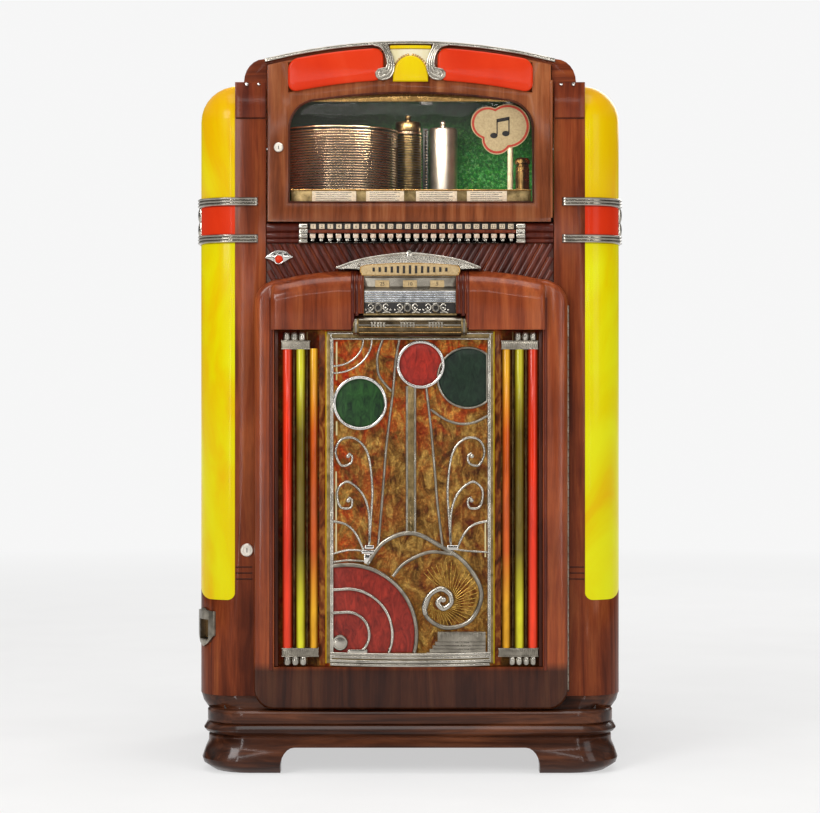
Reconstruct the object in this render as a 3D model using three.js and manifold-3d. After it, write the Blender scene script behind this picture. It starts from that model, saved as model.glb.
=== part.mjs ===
// A floor-standing jukebox with 24 selector keys, in millimetres.
// +X is the player's right, +Y is the back, +Z is up, and the origin is under the middle of the cabinet.
import * as THREE from 'three';
import { mergeVertices } from 'three/addons/utils/BufferGeometryUtils.js';
import Module from 'manifold-3d';

const wasm = await Module();
wasm.setup();

// ---- driving dimensions ----------------------------------------------------------------------

const GAP = 0.3; // clearance between neighbouring solids
const HALF_WIDTH = 424; // outside face of each side panel
const CORNER_R = 74; // rounded front corners of the cabinet
const CORNER_X = HALF_WIDTH - CORNER_R; // centre line of a front corner
const FRONT = -270; // face of the pilasters
const CORNER_Y = FRONT + CORNER_R;
const BACK = 316; // back edge of the side panels
const WALL = 20;
const LENS_THICK = 8;
const CORE_R = CORNER_R - LENS_THICK - 0.5; // wooden core behind the corner plastics
const PILASTER_X = 288; // inner edge of each pilaster

const BODY_Z = 150; // top of the base
const ROOF_Z = 1304; // where the side walls end and the roof starts
const SHOULDER_Z = ROOF_Z + CORNER_R;
const CROWN_Z = 1460; // top of the cabinet
const CROWN_X = 332; // foot of the crown's rounded shoulder
const CROWN_INNER_X = 292; // head of the crown's rounded shoulder
const CROWN_EDGE_Z = 1424;
const ROOF_THICK = 14;
const CROWN_SAG = CROWN_Z - CROWN_EDGE_Z;
const CROWN_R = (CROWN_INNER_X ** 2 + CROWN_SAG ** 2) / (2 * CROWN_SAG);
const CROWN_CENTRE_Z = CROWN_Z - CROWN_R;

const LOWER_LENS_Z = 342;
const BAND_LOW = [1056, 1074];
const BAND_HIGH = [1130, 1148];
const BAND_PROUD = 8;
const BAND_INNER_X = 304;

const DISPLAY = { left: -284, right: 281, bottom: 1098.3, front: -282, back: -258 };
const WINDOW = { left: -242, right: 246, bottom: 1136, shoulder: 1342, top: 1356, cornerR: 58 };
const CROWN_RIM = 4; // wood above the crown lenses
const CROWN_LENS_FOOT = 78; // from the top of the crown down to the foot of its lenses

const DOOR = { left: -310, right: 314, bottom: 126, top: 1000, front: -304, back: -270.5 };
const DOOR_OPENING = { left: -270, right: 264, bottom: 212, top: 882 };
const DOOR_CENTRE_X = (DOOR.left + DOOR.right) / 2;
const DOOR_CORNER = { x: 54, z: 50 }; // radii of the rounded upper corners
// Half width of the level part of the door's top, and the fall from there to a corner.
const DOOR_CAMBER = { flat: 110, drop: 17 };
const VALANCE = { left: -276, right: 268, front: -326, r: 44, endR: 10 };
const NOTCH_X = 92; // half width of the notch that holds the coin head

const NOTCH_BACK = -288;
const COIN_TRAY = { y: -308.2, z: 891, r: 19.5, half: 113 };
const COIN_ROOM_X = 116; // half width of the room that the coin tray's ends need
const COIN_ROOM_TOP = 914;

const SLIDE_FRONT = -330;
const SLIDE_X = [-63, -5, 51];
const SLIDE_HALF = 15;
const SLIDE_Z = [885, 897];
const SLIDE_TRAVEL = 25;

const KEY_COUNT = 24;
const KEY_PITCH = 17.17;
const KEY_WIDTH = 14.2;
const KEY_CENTRE_X = 4;
const KEY_PIVOT = { y: -180, z: 1062, r: 3 };

const GRILLE = { left: -166, right: 166, bottom: 214, top: 880, front: -304, back: -296 };
const GRILLE_HOLE = { left: -152, right: 154, bottom: 240, top: 862 };
const TUBE_R = 9.5;
const TUBE_Y = -294.5;

const DECK_Z = [1100, 1112];
const STACK = { x: -152, y: 0, r: 127, bottom: 1176, top: 1302.5 };
const POST = { x: -4, y: 40, r: 18, top: 1332 };
const MOTOR = { x: 71, y: 85, r: 31, top: 1324 };
const SMALL_POST = { x: 236, y: -40, r: 16, top: 1249 };
const BACKDROP = { half: 300, front: 150, back: 156, top: 1390 };
const TURNTABLE = { x: 72.5, y: -92.5, r: 75, bottom: 1150.3, top: 1160, shaftR: 10 };
const ARM_POST = { x: 215, y: 60, r: 6, top: 1372 };

const DISPLAY_HINGE = { x: 282, y: -283, r: 3 };
const DOOR_HINGE = { x: 314, y: -280, r: 3.5 };
const BACK_HINGE = { x: 400, y: 317, r: 4 };

const COIN_ANGLE = -57; // turn of the coin return round the left front corner, in degrees

// ---- materials -------------------------------------------------------------------------------

function finish(color, roughness, metalness) {
  return new THREE.MeshStandardMaterial({ color, roughness, metalness });
}

const walnut = finish(0x7a4426, 0.35, 0);
const darkWalnut = finish(0x4a2a1e, 0.4, 0);
const nickel = finish(0xa49c8c, 0.3, 1);
const brass = finish(0x9c7440, 0.35, 1);
const chrome = finish(0xc8c8c8, 0.15, 1);
const yellowPlastic = finish(0xe0c414, 0.3, 0);
const redPlastic = finish(0xdc3c23, 0.3, 0);
const greenPlastic = finish(0xb4b428, 0.3, 0);
const ivory = finish(0xe2d8b8, 0.4, 0);
const glass = finish(0xdfe8e6, 0.05, 0);
const goldCloth = finish(0xb07a2c, 0.6, 0.2);
const blackIron = finish(0x2b2b2b, 0.6, 0.6);
const shellac = finish(0x141414, 0.3, 0);

// ---- solids ----------------------------------------------------------------------------------

function toSolid(geometry) {
  geometry.deleteAttribute('normal');
  geometry.deleteAttribute('uv');
  const merged = mergeVertices(geometry, 1e-3);
  return new wasm.Manifold(new wasm.Mesh({
    numProp: 3,
    vertProperties: new Float32Array(merged.attributes.position.array),
    triVerts: new Uint32Array(merged.index.array),
  }));
}

function toGeometry(solid) {
  const mesh = solid.getMesh();
  const geometry = new THREE.BufferGeometry();
  geometry.setAttribute('position', new THREE.BufferAttribute(new Float32Array(mesh.vertProperties), 3));
  geometry.setIndex(new THREE.BufferAttribute(new Uint32Array(mesh.triVerts), 1));
  geometry.computeVertexNormals();
  return geometry;
}

function union(solids) {
  return solids.reduce((total, solid) => total.add(solid));
}

function boxGeometry(x0, x1, y0, y1, z0, z1) {
  const geometry = new THREE.BoxGeometry(x1 - x0, y1 - y0, z1 - z0);
  return geometry.translate((x0 + x1) / 2, (y0 + y1) / 2, (z0 + z1) / 2);
}

function box(x0, x1, y0, y1, z0, z1) {
  return toSolid(boxGeometry(x0, x1, y0, y1, z0, z1));
}

// A box on one side of the cabinet, given by its distances from the middle.
function sideBox(side, u0, u1, y0, y1, z0, z1) {
  return side > 0 ? box(u0, u1, y0, y1, z0, z1) : box(-u1, -u0, y0, y1, z0, z1);
}

function uprightGeometry(x, y, r, z0, z1, segments = 32) {
  const geometry = new THREE.CylinderGeometry(r, r, z1 - z0, segments);
  return geometry.rotateX(Math.PI / 2).translate(x, y, (z0 + z1) / 2);
}

function upright(x, y, r, z0, z1, segments = 32) {
  return toSolid(uprightGeometry(x, y, r, z0, z1, segments));
}

function crossBar(y, z, r, x0, x1, segments = 24) {
  const geometry = new THREE.CylinderGeometry(r, r, x1 - x0, segments);
  return toSolid(geometry.rotateZ(Math.PI / 2).translate((x0 + x1) / 2, y, z));
}

function arc(cx, cy, rx, ry, startDegrees, endDegrees, steps = 10) {
  const points = [];
  for (let i = 0; i <= steps; i += 1) {
    const angle = THREE.MathUtils.degToRad(startDegrees + ((endDegrees - startDegrees) * i) / steps);
    points.push([cx + rx * Math.cos(angle), cy + ry * Math.sin(angle)]);
  }
  return points;
}

function outline(points) {
  return new THREE.Shape(points.map(([x, y]) => new THREE.Vector2(x, y)));
}

function extrude(points, depth) {
  return new THREE.ExtrudeGeometry(outline(points), { depth, bevelEnabled: false });
}

// An outline in plan, raised from z0 to z1.
function raise(points, z0, z1) {
  return toSolid(extrude(points, z1 - z0).translate(0, 0, z0));
}

function frontGeometry(points, y0, y1) {
  return extrude(points, y1 - y0).rotateX(Math.PI / 2).translate(0, y1, 0);
}

// An outline seen from the front, as deep as y0 to y1.
function front(points, y0, y1) {
  return toSolid(frontGeometry(points, y0, y1));
}

const SIDE_VIEW = new THREE.Matrix4().makeBasis(
  new THREE.Vector3(0, 1, 0),
  new THREE.Vector3(0, 0, 1),
  new THREE.Vector3(1, 0, 0),
);

// An outline seen from the side, as wide as x0 to x1.
function profile(points, x0, x1) {
  return toSolid(extrude(points, x1 - x0).applyMatrix4(SIDE_VIEW).translate(x0, 0, 0));
}

function mirrored(points, side) {
  return points.map(([x, y]) => [x * side, y]);
}

// ---- shapes shared by several parts ----------------------------------------------------------

function crownArc(radius, fromX, toX, steps = 16) {
  const points = [];
  for (let i = 0; i <= steps; i += 1) {
    const x = fromX + ((toX - fromX) * i) / steps;
    points.push([x, CROWN_CENTRE_Z + Math.sqrt(radius ** 2 - x ** 2)]);
  }
  return points;
}

// The right half of the roof's outline, from the side wall up to the head of the crown's shoulder.
function roofEdge(inset) {
  const shoulderR = CROWN_X - CROWN_INNER_X - inset;
  const shoulderTop = CROWN_EDGE_Z - inset;
  const shoulderFoot = SHOULDER_Z - inset;
  return [
    ...arc(CORNER_X, ROOF_Z, CORNER_R - inset, CORNER_R - inset, 0, 90),
    [CROWN_X - inset, shoulderFoot],
    ...arc(CROWN_INNER_X, SHOULDER_Z, shoulderR, shoulderTop - SHOULDER_Z, 0, 90, 6),
  ];
}

function roofOutline(inset) {
  const right = roofEdge(inset);
  const left = mirrored(right, -1).reverse();
  const top = crownArc(CROWN_R - inset, CROWN_INNER_X, -CROWN_INNER_X).slice(1, -1);
  return [...right, ...top, ...left];
}

// A quarter tube that follows a front corner, between two radii and two heights.
function cornerTube(side, innerR, outerR, z0, z1) {
  const tube = upright(side * CORNER_X, CORNER_Y, outerR, z0, z1, 48)
    .subtract(upright(side * CORNER_X, CORNER_Y, innerR, z0 - 1, z1 + 1, 48));
  return tube.intersect(sideBox(side, CORNER_X, 500, -400, CORNER_Y, z0 - 2, z1 + 2));
}

// The lower corner lens seen from the front, with its rounded foot.
function lowerLensOutline(side, grow) {
  const outer = HALF_WIDTH + 5;
  const r = 24;
  const bottom = LOWER_LENS_Z - grow;
  const inner = CORNER_X - grow;
  return mirrored([
    [outer, BAND_LOW[0]],
    [inner, BAND_LOW[0]],
    ...arc(inner + 16, bottom + 16, 16, 16, 180, 270, 6),
    ...arc(HALF_WIDTH - r, bottom + r, r + grow, r, 270, 360, 8),
    [outer, bottom + r + grow],
  ], side);
}

// Turns a geometry made at the front of a corner post round to the coin return's place.
function toCoinPlace(geometry) {
  return geometry.rotateZ(THREE.MathUtils.degToRad(COIN_ANGLE)).translate(-CORNER_X, CORNER_Y, 0);
}

const CUP = { half: 20, front: -74, back: -20, bottom: 258, top: 304, wall: 3 };

// ---- cabinet ---------------------------------------------------------------------------------

function sidePanel(side) {
  const section = mirrored([
    [HALF_WIDTH, BACK],
    [HALF_WIDTH, CORNER_Y],
    ...arc(CORNER_X, CORNER_Y, CORE_R, CORE_R, 0, -90),
    [CORNER_X, FRONT],
    [PILASTER_X, FRONT],
    [PILASTER_X, FRONT + WALL],
    ...arc(CORNER_X, CORNER_Y, CORNER_R - WALL, CORNER_R - WALL, -90, 0),
    [HALF_WIDTH - WALL, BACK],
  ], side);
  const overlap = 0.5;
  const body = union([
    raise(section, BODY_Z + GAP, ROOF_Z - GAP),
    sideBox(side, PILASTER_X, CORNER_X, FRONT, FRONT + WALL, ROOF_Z - 1, SHOULDER_Z - ROOF_THICK - GAP),
    cornerTube(side, CORE_R - overlap, CORNER_R, BODY_Z + GAP, LOWER_LENS_Z + 28)
      .subtract(front(lowerLensOutline(side, GAP), -300, CORNER_Y + 10)),
    cornerTube(side, CORE_R - overlap, CORNER_R - GAP, BAND_LOW[0], BAND_LOW[1]),
    cornerTube(side, CORE_R - overlap, CORNER_R - 4, BAND_LOW[1] - 1, BAND_HIGH[0] + 1),
    cornerTube(side, CORE_R - overlap, CORNER_R - GAP, BAND_HIGH[0], BAND_HIGH[1]),
  ]);
  if (side > 0) {
    return body;
  }
  const clear = 0.5;
  const cupHole = boxGeometry(
    -CUP.half - clear, CUP.half + clear, -100, CUP.back + clear, CUP.bottom - clear, CUP.top + clear,
  );
  return body.subtract(toSolid(toCoinPlace(cupHole)));
}

function roofPanel() {
  const outer = roofOutline(0);
  const inner = roofOutline(ROOF_THICK);
  const shell = front(outer, FRONT, BACK).subtract(front(
    [[HALF_WIDTH - ROOF_THICK, ROOF_Z - 5], ...inner, [-HALF_WIDTH + ROOF_THICK, ROOF_Z - 5]],
    FRONT - 5,
    BACK + 5,
  ));
  const backWall = front(outer, BACK - 16, BACK);
  const fascia = front(outer, FRONT, FRONT + 16)
    .intersect(box(-CORNER_X, CORNER_X, -400, 0, SHOULDER_Z - ROOF_THICK, CROWN_Z + 5));
  const doorway = front([
    [DISPLAY.right + 2.3, SHOULDER_Z - 80],
    ...crownArc(CROWN_R - ROOF_THICK, DISPLAY.right + 2.3, DISPLAY.left - 2.3),
    [DISPLAY.left - 2.3, SHOULDER_Z - 80],
  ], FRONT - 5, FRONT + 30);
  const lensRoom = [-1, 1].map((side) => sideBox(
    side, CORNER_X, 500, -400, CORNER_Y + GAP, ROOF_Z - 10, CROWN_Z,
  ));
  return union([shell, backWall, fascia])
    .subtract(doorway)
    .subtract(union(lensRoom));
}

// One level of the base in plan, with rounded front corners and small back corners.
function planRing(halfWidth, frontY, backY, z) {
  const r = 78;
  const points = [
    ...arc(halfWidth - r, frontY + r, r, r, -90, 0, 6),
    ...arc(halfWidth - 8, backY - 8, 8, 8, 0, 90, 1),
    ...arc(-halfWidth + 8, backY - 8, 8, 8, 90, 180, 1),
    ...arc(-halfWidth + r, frontY + r, r, r, 180, 270, 6),
  ];
  return points.map(([x, y]) => new THREE.Vector3(x, y, z));
}

// Joins rings of equal length into one closed body.
function loft(rings) {
  const count = rings[0].length;
  const positions = rings.flat().flatMap((point) => [point.x, point.y, point.z]);
  const index = [];
  for (let level = 0; level < rings.length - 1; level += 1) {
    for (let i = 0; i < count; i += 1) {
      const a = level * count + i;
      const b = level * count + ((i + 1) % count);
      index.push(a, b, b + count, a, b + count, a + count);
    }
  }
  const last = (rings.length - 1) * count;
  for (let i = 1; i < count - 1; i += 1) {
    index.push(0, i + 1, i);
    index.push(last, last + i, last + i + 1);
  }
  const geometry = new THREE.BufferGeometry();
  geometry.setAttribute('position', new THREE.Float32BufferAttribute(positions, 3));
  geometry.setIndex(index);
  return toSolid(geometry);
}

function basePlinth() {
  // Height, half width, front and back of each level: foot, beads, grooves and the top strip.
  const levels = [
    [0, 396, -292, 308],
    [8, 406, -302, 318],
    [16, 415, -311, 327],
    [26, 418, -314, 330],
    [44, 412, -308, 324],
    [58, 406, -302, 318],
    [70, 406, -302, 318],
    [74, 403, -299, 315],
    [78, 410, -306, 322],
    [85, 415, -311, 327],
    [92, 410, -306, 322],
    [97, 404, -300, 316],
    [100, 408, -304, 320],
    [120, 408, -304, 320],
    [124, 405, -300, 317],
    [124.5, 412, FRONT, BACK],
    [136, 420, FRONT, BACK],
    [BODY_Z, HALF_WIDTH, FRONT, BACK],
  ];
  const body = loft(levels.map(([z, halfWidth, frontY, backY]) => planRing(halfWidth, frontY, backY, z)));
  const floorBoard = 18;
  const hollow = box(-372, 372, -262, 290, -1, BODY_Z - floorBoard);
  const archTop = 52;
  const arch = (half) => [
    [half, -1],
    ...arc(half - 28, archTop - 40, 28, 40, 0, 90, 6),
    ...arc(-half + 28, archTop - 40, 28, 40, 90, 180, 6),
    [-half, -1],
  ];
  return body
    .subtract(hollow)
    .subtract(front(arch(258), -400, 400))
    .subtract(profile(arch(190), -500, 500));
}

function headerPanel() {
  return box(-PILASTER_X + GAP, PILASTER_X - GAP, FRONT, FRONT + 18, 962, BAND_LOW[0] - GAP);
}

function backDoor() {
  const slab = box(-402, 402, 298, 314, BODY_Z + 3, ROOF_Z - 4);
  const pull = box(-380, -368, 314, 322, 700, 800);
  const vents = [];
  for (let row = 0; row < 5; row += 1) {
    const z = 900 + row * 32;
    vents.push(box(-148, -8, 290, 320, z, z + 10), box(8, 148, 290, 320, z, z + 10));
  }
  const outlet = new THREE.CylinderGeometry(14, 14, 60, 20).translate(300, 306, 220);
  return slab
    .add(pull)
    .subtract(union(vents))
    .subtract(toSolid(outlet))
    .add(hingeBarrel(BACK_HINGE.x, BACK_HINGE.y, BACK_HINGE.r, BODY_Z + 20, ROOF_Z - 20));
}

function hingeBarrel(x, y, r, z0, z1) {
  return upright(x, y, r, z0, z1, 12);
}

// ---- corner plastics and their metal bands ---------------------------------------------------

function lowerLens(side) {
  return cornerTube(side, CORNER_R - LENS_THICK, CORNER_R, LOWER_LENS_Z, BAND_LOW[0] - GAP)
    .intersect(front(lowerLensOutline(side, 0), -300, CORNER_Y - GAP))
    .intersect(sideBox(side, CORNER_X + GAP, 500, -400, CORNER_Y - GAP, 0, 1500));
}

function upperLens(side) {
  const bottom = BAND_HIGH[1] + GAP;
  const dome = (r) => {
    const ball = new THREE.SphereGeometry(r, 32, 16);
    const cap = toSolid(ball.rotateX(Math.PI / 2).translate(side * CORNER_X, CORNER_Y, ROOF_Z));
    return cap.add(upright(side * CORNER_X, CORNER_Y, r, bottom - 20, ROOF_Z, 32));
  };
  return dome(CORNER_R)
    .subtract(dome(CORNER_R - LENS_THICK))
    .intersect(sideBox(side, CORNER_X + GAP, 500, -400, CORNER_Y - GAP, bottom, 1500));
}

function bandTrim(side) {
  const outer = HALF_WIDTH + BAND_PROUD;
  const sideEnd = CORNER_Y + 90;
  const bands = [BAND_LOW, BAND_HIGH].map(([z0, z1]) => union([
    cornerTube(side, CORNER_R + GAP, CORNER_R + BAND_PROUD, z0, z1),
    sideBox(side, BAND_INNER_X, CORNER_X + 1, FRONT - BAND_PROUD, FRONT - GAP, z0, z1),
    sideBox(side, HALF_WIDTH + GAP, outer, CORNER_Y - 1, sideEnd, z0, z1),
  ]));
  const ornament = sideBox(
    side, HALF_WIDTH + GAP, outer - 1, CORNER_Y + 8, CORNER_Y + 40, BAND_LOW[0] + 2, BAND_HIGH[1] - 2,
  );
  return union([...bands, ornament]);
}

// ---- display door ----------------------------------------------------------------------------

function displayTop(rim) {
  return crownArc(CROWN_R - ROOF_THICK - 1 - rim, DISPLAY.right - rim, DISPLAY.left + rim);
}

// A window in the crown between two arches that follow the cabinet's top.
function crownWindow(x0, x1) {
  return [
    ...crownArc(CROWN_R - CROWN_LENS_FOOT, x0, x1, 8),
    ...crownArc(CROWN_R - ROOF_THICK - 1 - CROWN_RIM, x1, x0, 8),
  ];
}

// The main window: a level foot, round upper corners and a shallow arched head.
function windowOutline() {
  const { left, right, bottom, shoulder, top, cornerR } = WINDOW;
  const middle = (left + right) / 2;
  const halfSpan = (right - left) / 2 - cornerR;
  const steps = 8;
  const head = [];
  for (let i = 1; i < steps; i += 1) {
    const across = 1 - (2 * i) / steps;
    head.push([middle + across * halfSpan, top - (top - shoulder) * across ** 2]);
  }
  return [
    [left, bottom],
    [right, bottom],
    ...arc(right - cornerR, shoulder - cornerR, cornerR, cornerR, 0, 90, 8),
    ...head,
    ...arc(left + cornerR, shoulder - cornerR, cornerR, cornerR, 90, 180, 8),
  ];
}

function displayDoorFrame() {
  const slab = front([
    [DISPLAY.left, DISPLAY.bottom],
    [DISPLAY.right, DISPLAY.bottom],
    ...displayTop(0),
  ], DISPLAY.front, DISPLAY.back);
  const openings = [windowOutline(), crownWindow(-243, -54), crownWindow(-34, 36), crownWindow(55, 244)]
    .map((points) => front(points, DISPLAY.front - 5, DISPLAY.back + 5));
  return slab
    .subtract(union(openings))
    .add(hingeBarrel(DISPLAY_HINGE.x, DISPLAY_HINGE.y, DISPLAY_HINGE.r, 1106, 1380));
}

function displayGlass() {
  const rim = 8;
  const left = WINDOW.left - rim;
  const right = WINDOW.right + rim;
  return front([
    [left, WINDOW.bottom - rim],
    [right, WINDOW.bottom - rim],
    ...crownArc(CROWN_R - CROWN_LENS_FOOT - 12, right, left, 8),
  ], DISPLAY.back + GAP, DISPLAY.back + 4);
}

// One plate of plastic behind the three crown windows.
function crownLens() {
  const half = 262;
  return front([
    ...crownArc(CROWN_R - CROWN_LENS_FOOT - 6, -half, half, 8),
    ...crownArc(CROWN_R - ROOF_THICK - 5, half, -half, 8),
  ], DISPLAY.back + GAP, DISPLAY.back + 6);
}

// ---- keyboard --------------------------------------------------------------------------------

function keyboardRail() {
  const rear = FRONT + 18;
  const rearBoard = box(-PILASTER_X + GAP, PILASTER_X - GAP, FRONT + 4, rear, BAND_LOW[0], 1097.7);
  const slot = box(-208, 214, -300, 0, 1057.5, 1077);
  const rolls = [[-PILASTER_X + GAP, -222], [226, PILASTER_X - GAP]].map(
    ([x0, x1]) => crossBar(FRONT + 4, 1077, 18, x0, x1).intersect(box(x0, x1, -400, rear, 1056, 1098)),
  );
  const tabLedge = box(-208, 214, FRONT - 6, FRONT + 5, 1080, 1096);
  const brackets = [-216, 222].map((x) => box(x - 4, x + 4, rear - 1, KEY_PIVOT.y + 6, 1056, 1067));
  const rod = crossBar(KEY_PIVOT.y, KEY_PIVOT.z, KEY_PIVOT.r, -218, 224, 12);
  return union([rearBoard.subtract(slot), ...rolls, tabLedge, ...brackets, rod]);
}

function selectorKey(index) {
  const x = KEY_CENTRE_X + (index - (KEY_COUNT - 1) / 2) * KEY_PITCH;
  const lever = [
    [KEY_PIVOT.y - 4, 1066],
    [KEY_PIVOT.y - 4, 1074],
    [-296, 1074],
    [-299, 1072],
    [-300, 1068],
    [-299, 1060],
    [-294, 1058],
    [-291, 1066],
  ];
  return profile(lever, x - KEY_WIDTH / 2, x + KEY_WIDTH / 2);
}

// ---- front door ------------------------------------------------------------------------------

// How far the door's top edge has fallen at x.
function doorFall(x) {
  const cornerStart = (DOOR.right - DOOR.left) / 2 - DOOR_CORNER.x;
  const beyond = Math.max(Math.abs(x - DOOR_CENTRE_X) - DOOR_CAMBER.flat, 0);
  return DOOR_CAMBER.drop * (beyond / (cornerStart - DOOR_CAMBER.flat)) ** 2;
}

// The door seen from the front: square sides, round corners and a cambered top.
function doorOutline(inset) {
  const { left, right, bottom, top } = DOOR;
  const footR = 40;
  const r = footR - inset;
  const cornerZ = top - DOOR_CAMBER.drop - DOOR_CORNER.z;
  const cornerRx = DOOR_CORNER.x - inset;
  const cornerRz = DOOR_CORNER.z - inset;
  const steps = [220, 185, 150, 110, -110, -150, -185, -220];
  return [
    ...arc(left + footR, bottom + footR, r, r, 180, 270, 6),
    ...arc(right - footR, bottom + footR, r, r, 270, 360, 6),
    ...arc(right - DOOR_CORNER.x, cornerZ, cornerRx, cornerRz, 0, 90, 8),
    ...steps.map((step) => [DOOR_CENTRE_X + step, top - inset - doorFall(DOOR_CENTRE_X + step)]),
    ...arc(left + DOOR_CORNER.x, cornerZ, cornerRx, cornerRz, 90, 180, 8),
  ];
}

// The rolled board above the opening, which follows the camber and has rounded ends.
function doorValance() {
  const { left, right, front: foremost, r, endR } = VALANCE;
  const ends = [0, 1, 3, 6, 10];
  const middle = [-215, -185, -150, -110, 110, 150, 185, 215];
  const places = [
    ...ends.map((step) => left + step),
    ...middle.map((step) => DOOR_CENTRE_X + step),
    ...ends.map((step) => right - step).reverse(),
  ];
  return loft(places.map((x) => {
    const fromEnd = Math.min(x - left, right - x, endR);
    const face = foremost + endR - Math.sqrt(endR ** 2 - (endR - fromEnd) ** 2);
    const top = DOOR.top - doorFall(x);
    return [
      [DOOR.back, DOOR_OPENING.top],
      [DOOR.back, top],
      ...arc(face + r, top - r, r, r, 90, 180, 8),
      [face, DOOR_OPENING.top],
    ].map(([y, z]) => new THREE.Vector3(x, y, z));
  }));
}

function frontDoorFrame() {
  const bevel = 12;
  const slabOutline = outline(doorOutline(bevel));
  const slabGeometry = new THREE.ExtrudeGeometry(slabOutline, {
    depth: 30,
    bevelThickness: 14,
    bevelSize: bevel,
    bevelSegments: 4,
    curveSegments: 1,
  });
  slabGeometry.rotateX(Math.PI / 2).translate(0, DOOR.front + 44, 0);
  const slab = toSolid(slabGeometry).intersect(box(-400, 400, -400, DOOR.back, 0, 1500));
  const opening = box(
    DOOR_OPENING.left, DOOR_OPENING.right, -400, 0, DOOR_OPENING.bottom, DOOR_OPENING.top,
  );
  const notch = box(-NOTCH_X, NOTCH_X, -400, NOTCH_BACK, DOOR_OPENING.top - 1, 1100)
    .add(box(-COIN_ROOM_X, COIN_ROOM_X, -400, NOTCH_BACK, DOOR_OPENING.top - 1, COIN_ROOM_TOP));
  const slidePocket = box(-84, 70, -300, -303 + SLIDE_TRAVEL + 4, DOOR_OPENING.top, 902);
  return slab
    .subtract(opening)
    .add(doorValance())
    .subtract(notch)
    .subtract(slidePocket)
    .add(hingeBarrel(DOOR_HINGE.x, DOOR_HINGE.y, DOOR_HINGE.r, 160, 930));
}

function coinHeadCasting() {
  const back = NOTCH_BACK - GAP;
  const panel = profile([
    [back, DOOR_OPENING.top + GAP],
    [back, 1001],
    [-300, 1001],
    [-312, 992],
    [-306, 968],
    [-318, 960],
    [-316, 916],
    [-318, DOOR_OPENING.top + GAP],
  ], -NOTCH_X + 1, NOTCH_X - 1);
  const crestTop = new THREE.SplineCurve([
    new THREE.Vector2(142, 1004),
    new THREE.Vector2(100, 1021),
    new THREE.Vector2(50, 1031),
    new THREE.Vector2(-2, 1036),
    new THREE.Vector2(-54, 1031),
    new THREE.Vector2(-104, 1021),
    new THREE.Vector2(-148, 1004),
  ]).getPoints(24).map((point) => [point.x, point.y]);
  const crest = front([...crestTop, [-92, 1001.5], [-90, 980], [90, 980], [92, 1001.5]], -308, -273);
  const crestClear = box(-200, 200, -289, -260, 900, 1002);
  const tray = crossBar(COIN_TRAY.y, COIN_TRAY.z, COIN_TRAY.r, -COIN_TRAY.half, COIN_TRAY.half)
    .subtract(box(-200, 200, GRILLE.front - GAP, -200, 800, DOOR_OPENING.top + GAP));
  const slots = SLIDE_X.map((x) => box(
    x - SLIDE_HALF - 1, x + SLIDE_HALF + 1, -400, -200, SLIDE_Z[0] - 1, SLIDE_Z[1] + 1,
  ));
  return union([panel, crest.subtract(crestClear), tray]).subtract(union(slots));
}

function coinSlide(x) {
  const [z0, z1] = SLIDE_Z;
  return profile([
    [-300, z0],
    [-300, z1],
    [SLIDE_FRONT + 3, z1],
    [SLIDE_FRONT, z1 - 3],
    [SLIDE_FRONT, z0 + 3],
    [SLIDE_FRONT + 3, z0],
  ], x - SLIDE_HALF, x + SLIDE_HALF);
}

// A bar of even width along a line of points, seen from the front.
function stroke(points, width) {
  const half = width / 2;
  const left = [];
  const right = [];
  points.forEach((point, i) => {
    const before = points[Math.max(i - 1, 0)];
    const after = points[Math.min(i + 1, points.length - 1)];
    const along = new THREE.Vector2(after[0] - before[0], after[1] - before[1]).normalize();
    left.push([point[0] - along.y * half, point[1] + along.x * half]);
    right.push([point[0] + along.y * half, point[1] - along.x * half]);
  });
  return front([...left, ...right.reverse()], GRILLE.front + 1, GRILLE.back - 1);
}

function smooth(points, steps) {
  const curve = new THREE.SplineCurve(points.map(([x, z]) => new THREE.Vector2(x, z)));
  return curve.getPoints(steps).map((point) => [point.x, point.y]);
}

function grilleRing(x, z, r, width) {
  return stroke(arc(x, z, r, r, 0, 180, 12), width).add(stroke(arc(x, z, r, r, 180, 360, 12), width));
}

// An arc of the lower left fan, level at the frame and upright where it meets the foot.
function fanArc(r, width) {
  const centre = { x: -125, z: GRILLE.bottom + 63 };
  const rise = centre.z - GRILLE_HOLE.bottom;
  const foot = -THREE.MathUtils.radToDeg(Math.asin(rise / r));
  return stroke([
    ...arc(centre.x, centre.z, r, r, foot, 90, 10),
    [GRILLE_HOLE.left - 2, centre.z + r - 2],
  ], width);
}

// Half of the scrollwork on each side of the middle, and the shell at the foot.
const SCROLL = [
  [82, 446], [77, 516], [75, 572], [84, 636], [108, 665], [136, 664], [148, 640], [137, 613], [119, 616],
  [115, 632],
];
const LOWER_SCROLL = [
  [80, 460], [82, 520], [96, 558], [124, 580], [144, 563], [139, 531], [119, 528], [116, 545],
];
const LEAF = [[156, 502], [127, 495], [108, 477], [92, 444]];
const SHELL = [
  [-86, 416], [-51, 461], [4, 478], [61, 452], [110, 418], [142, 360], [120, 305], [70, 290], [31, 316],
  [40, 357], [72, 361], [76, 336], [60, 332],
];
const SHELL_LIP = [[-34, 392], [-10, 419], [38, 440], [84, 436]];

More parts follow.
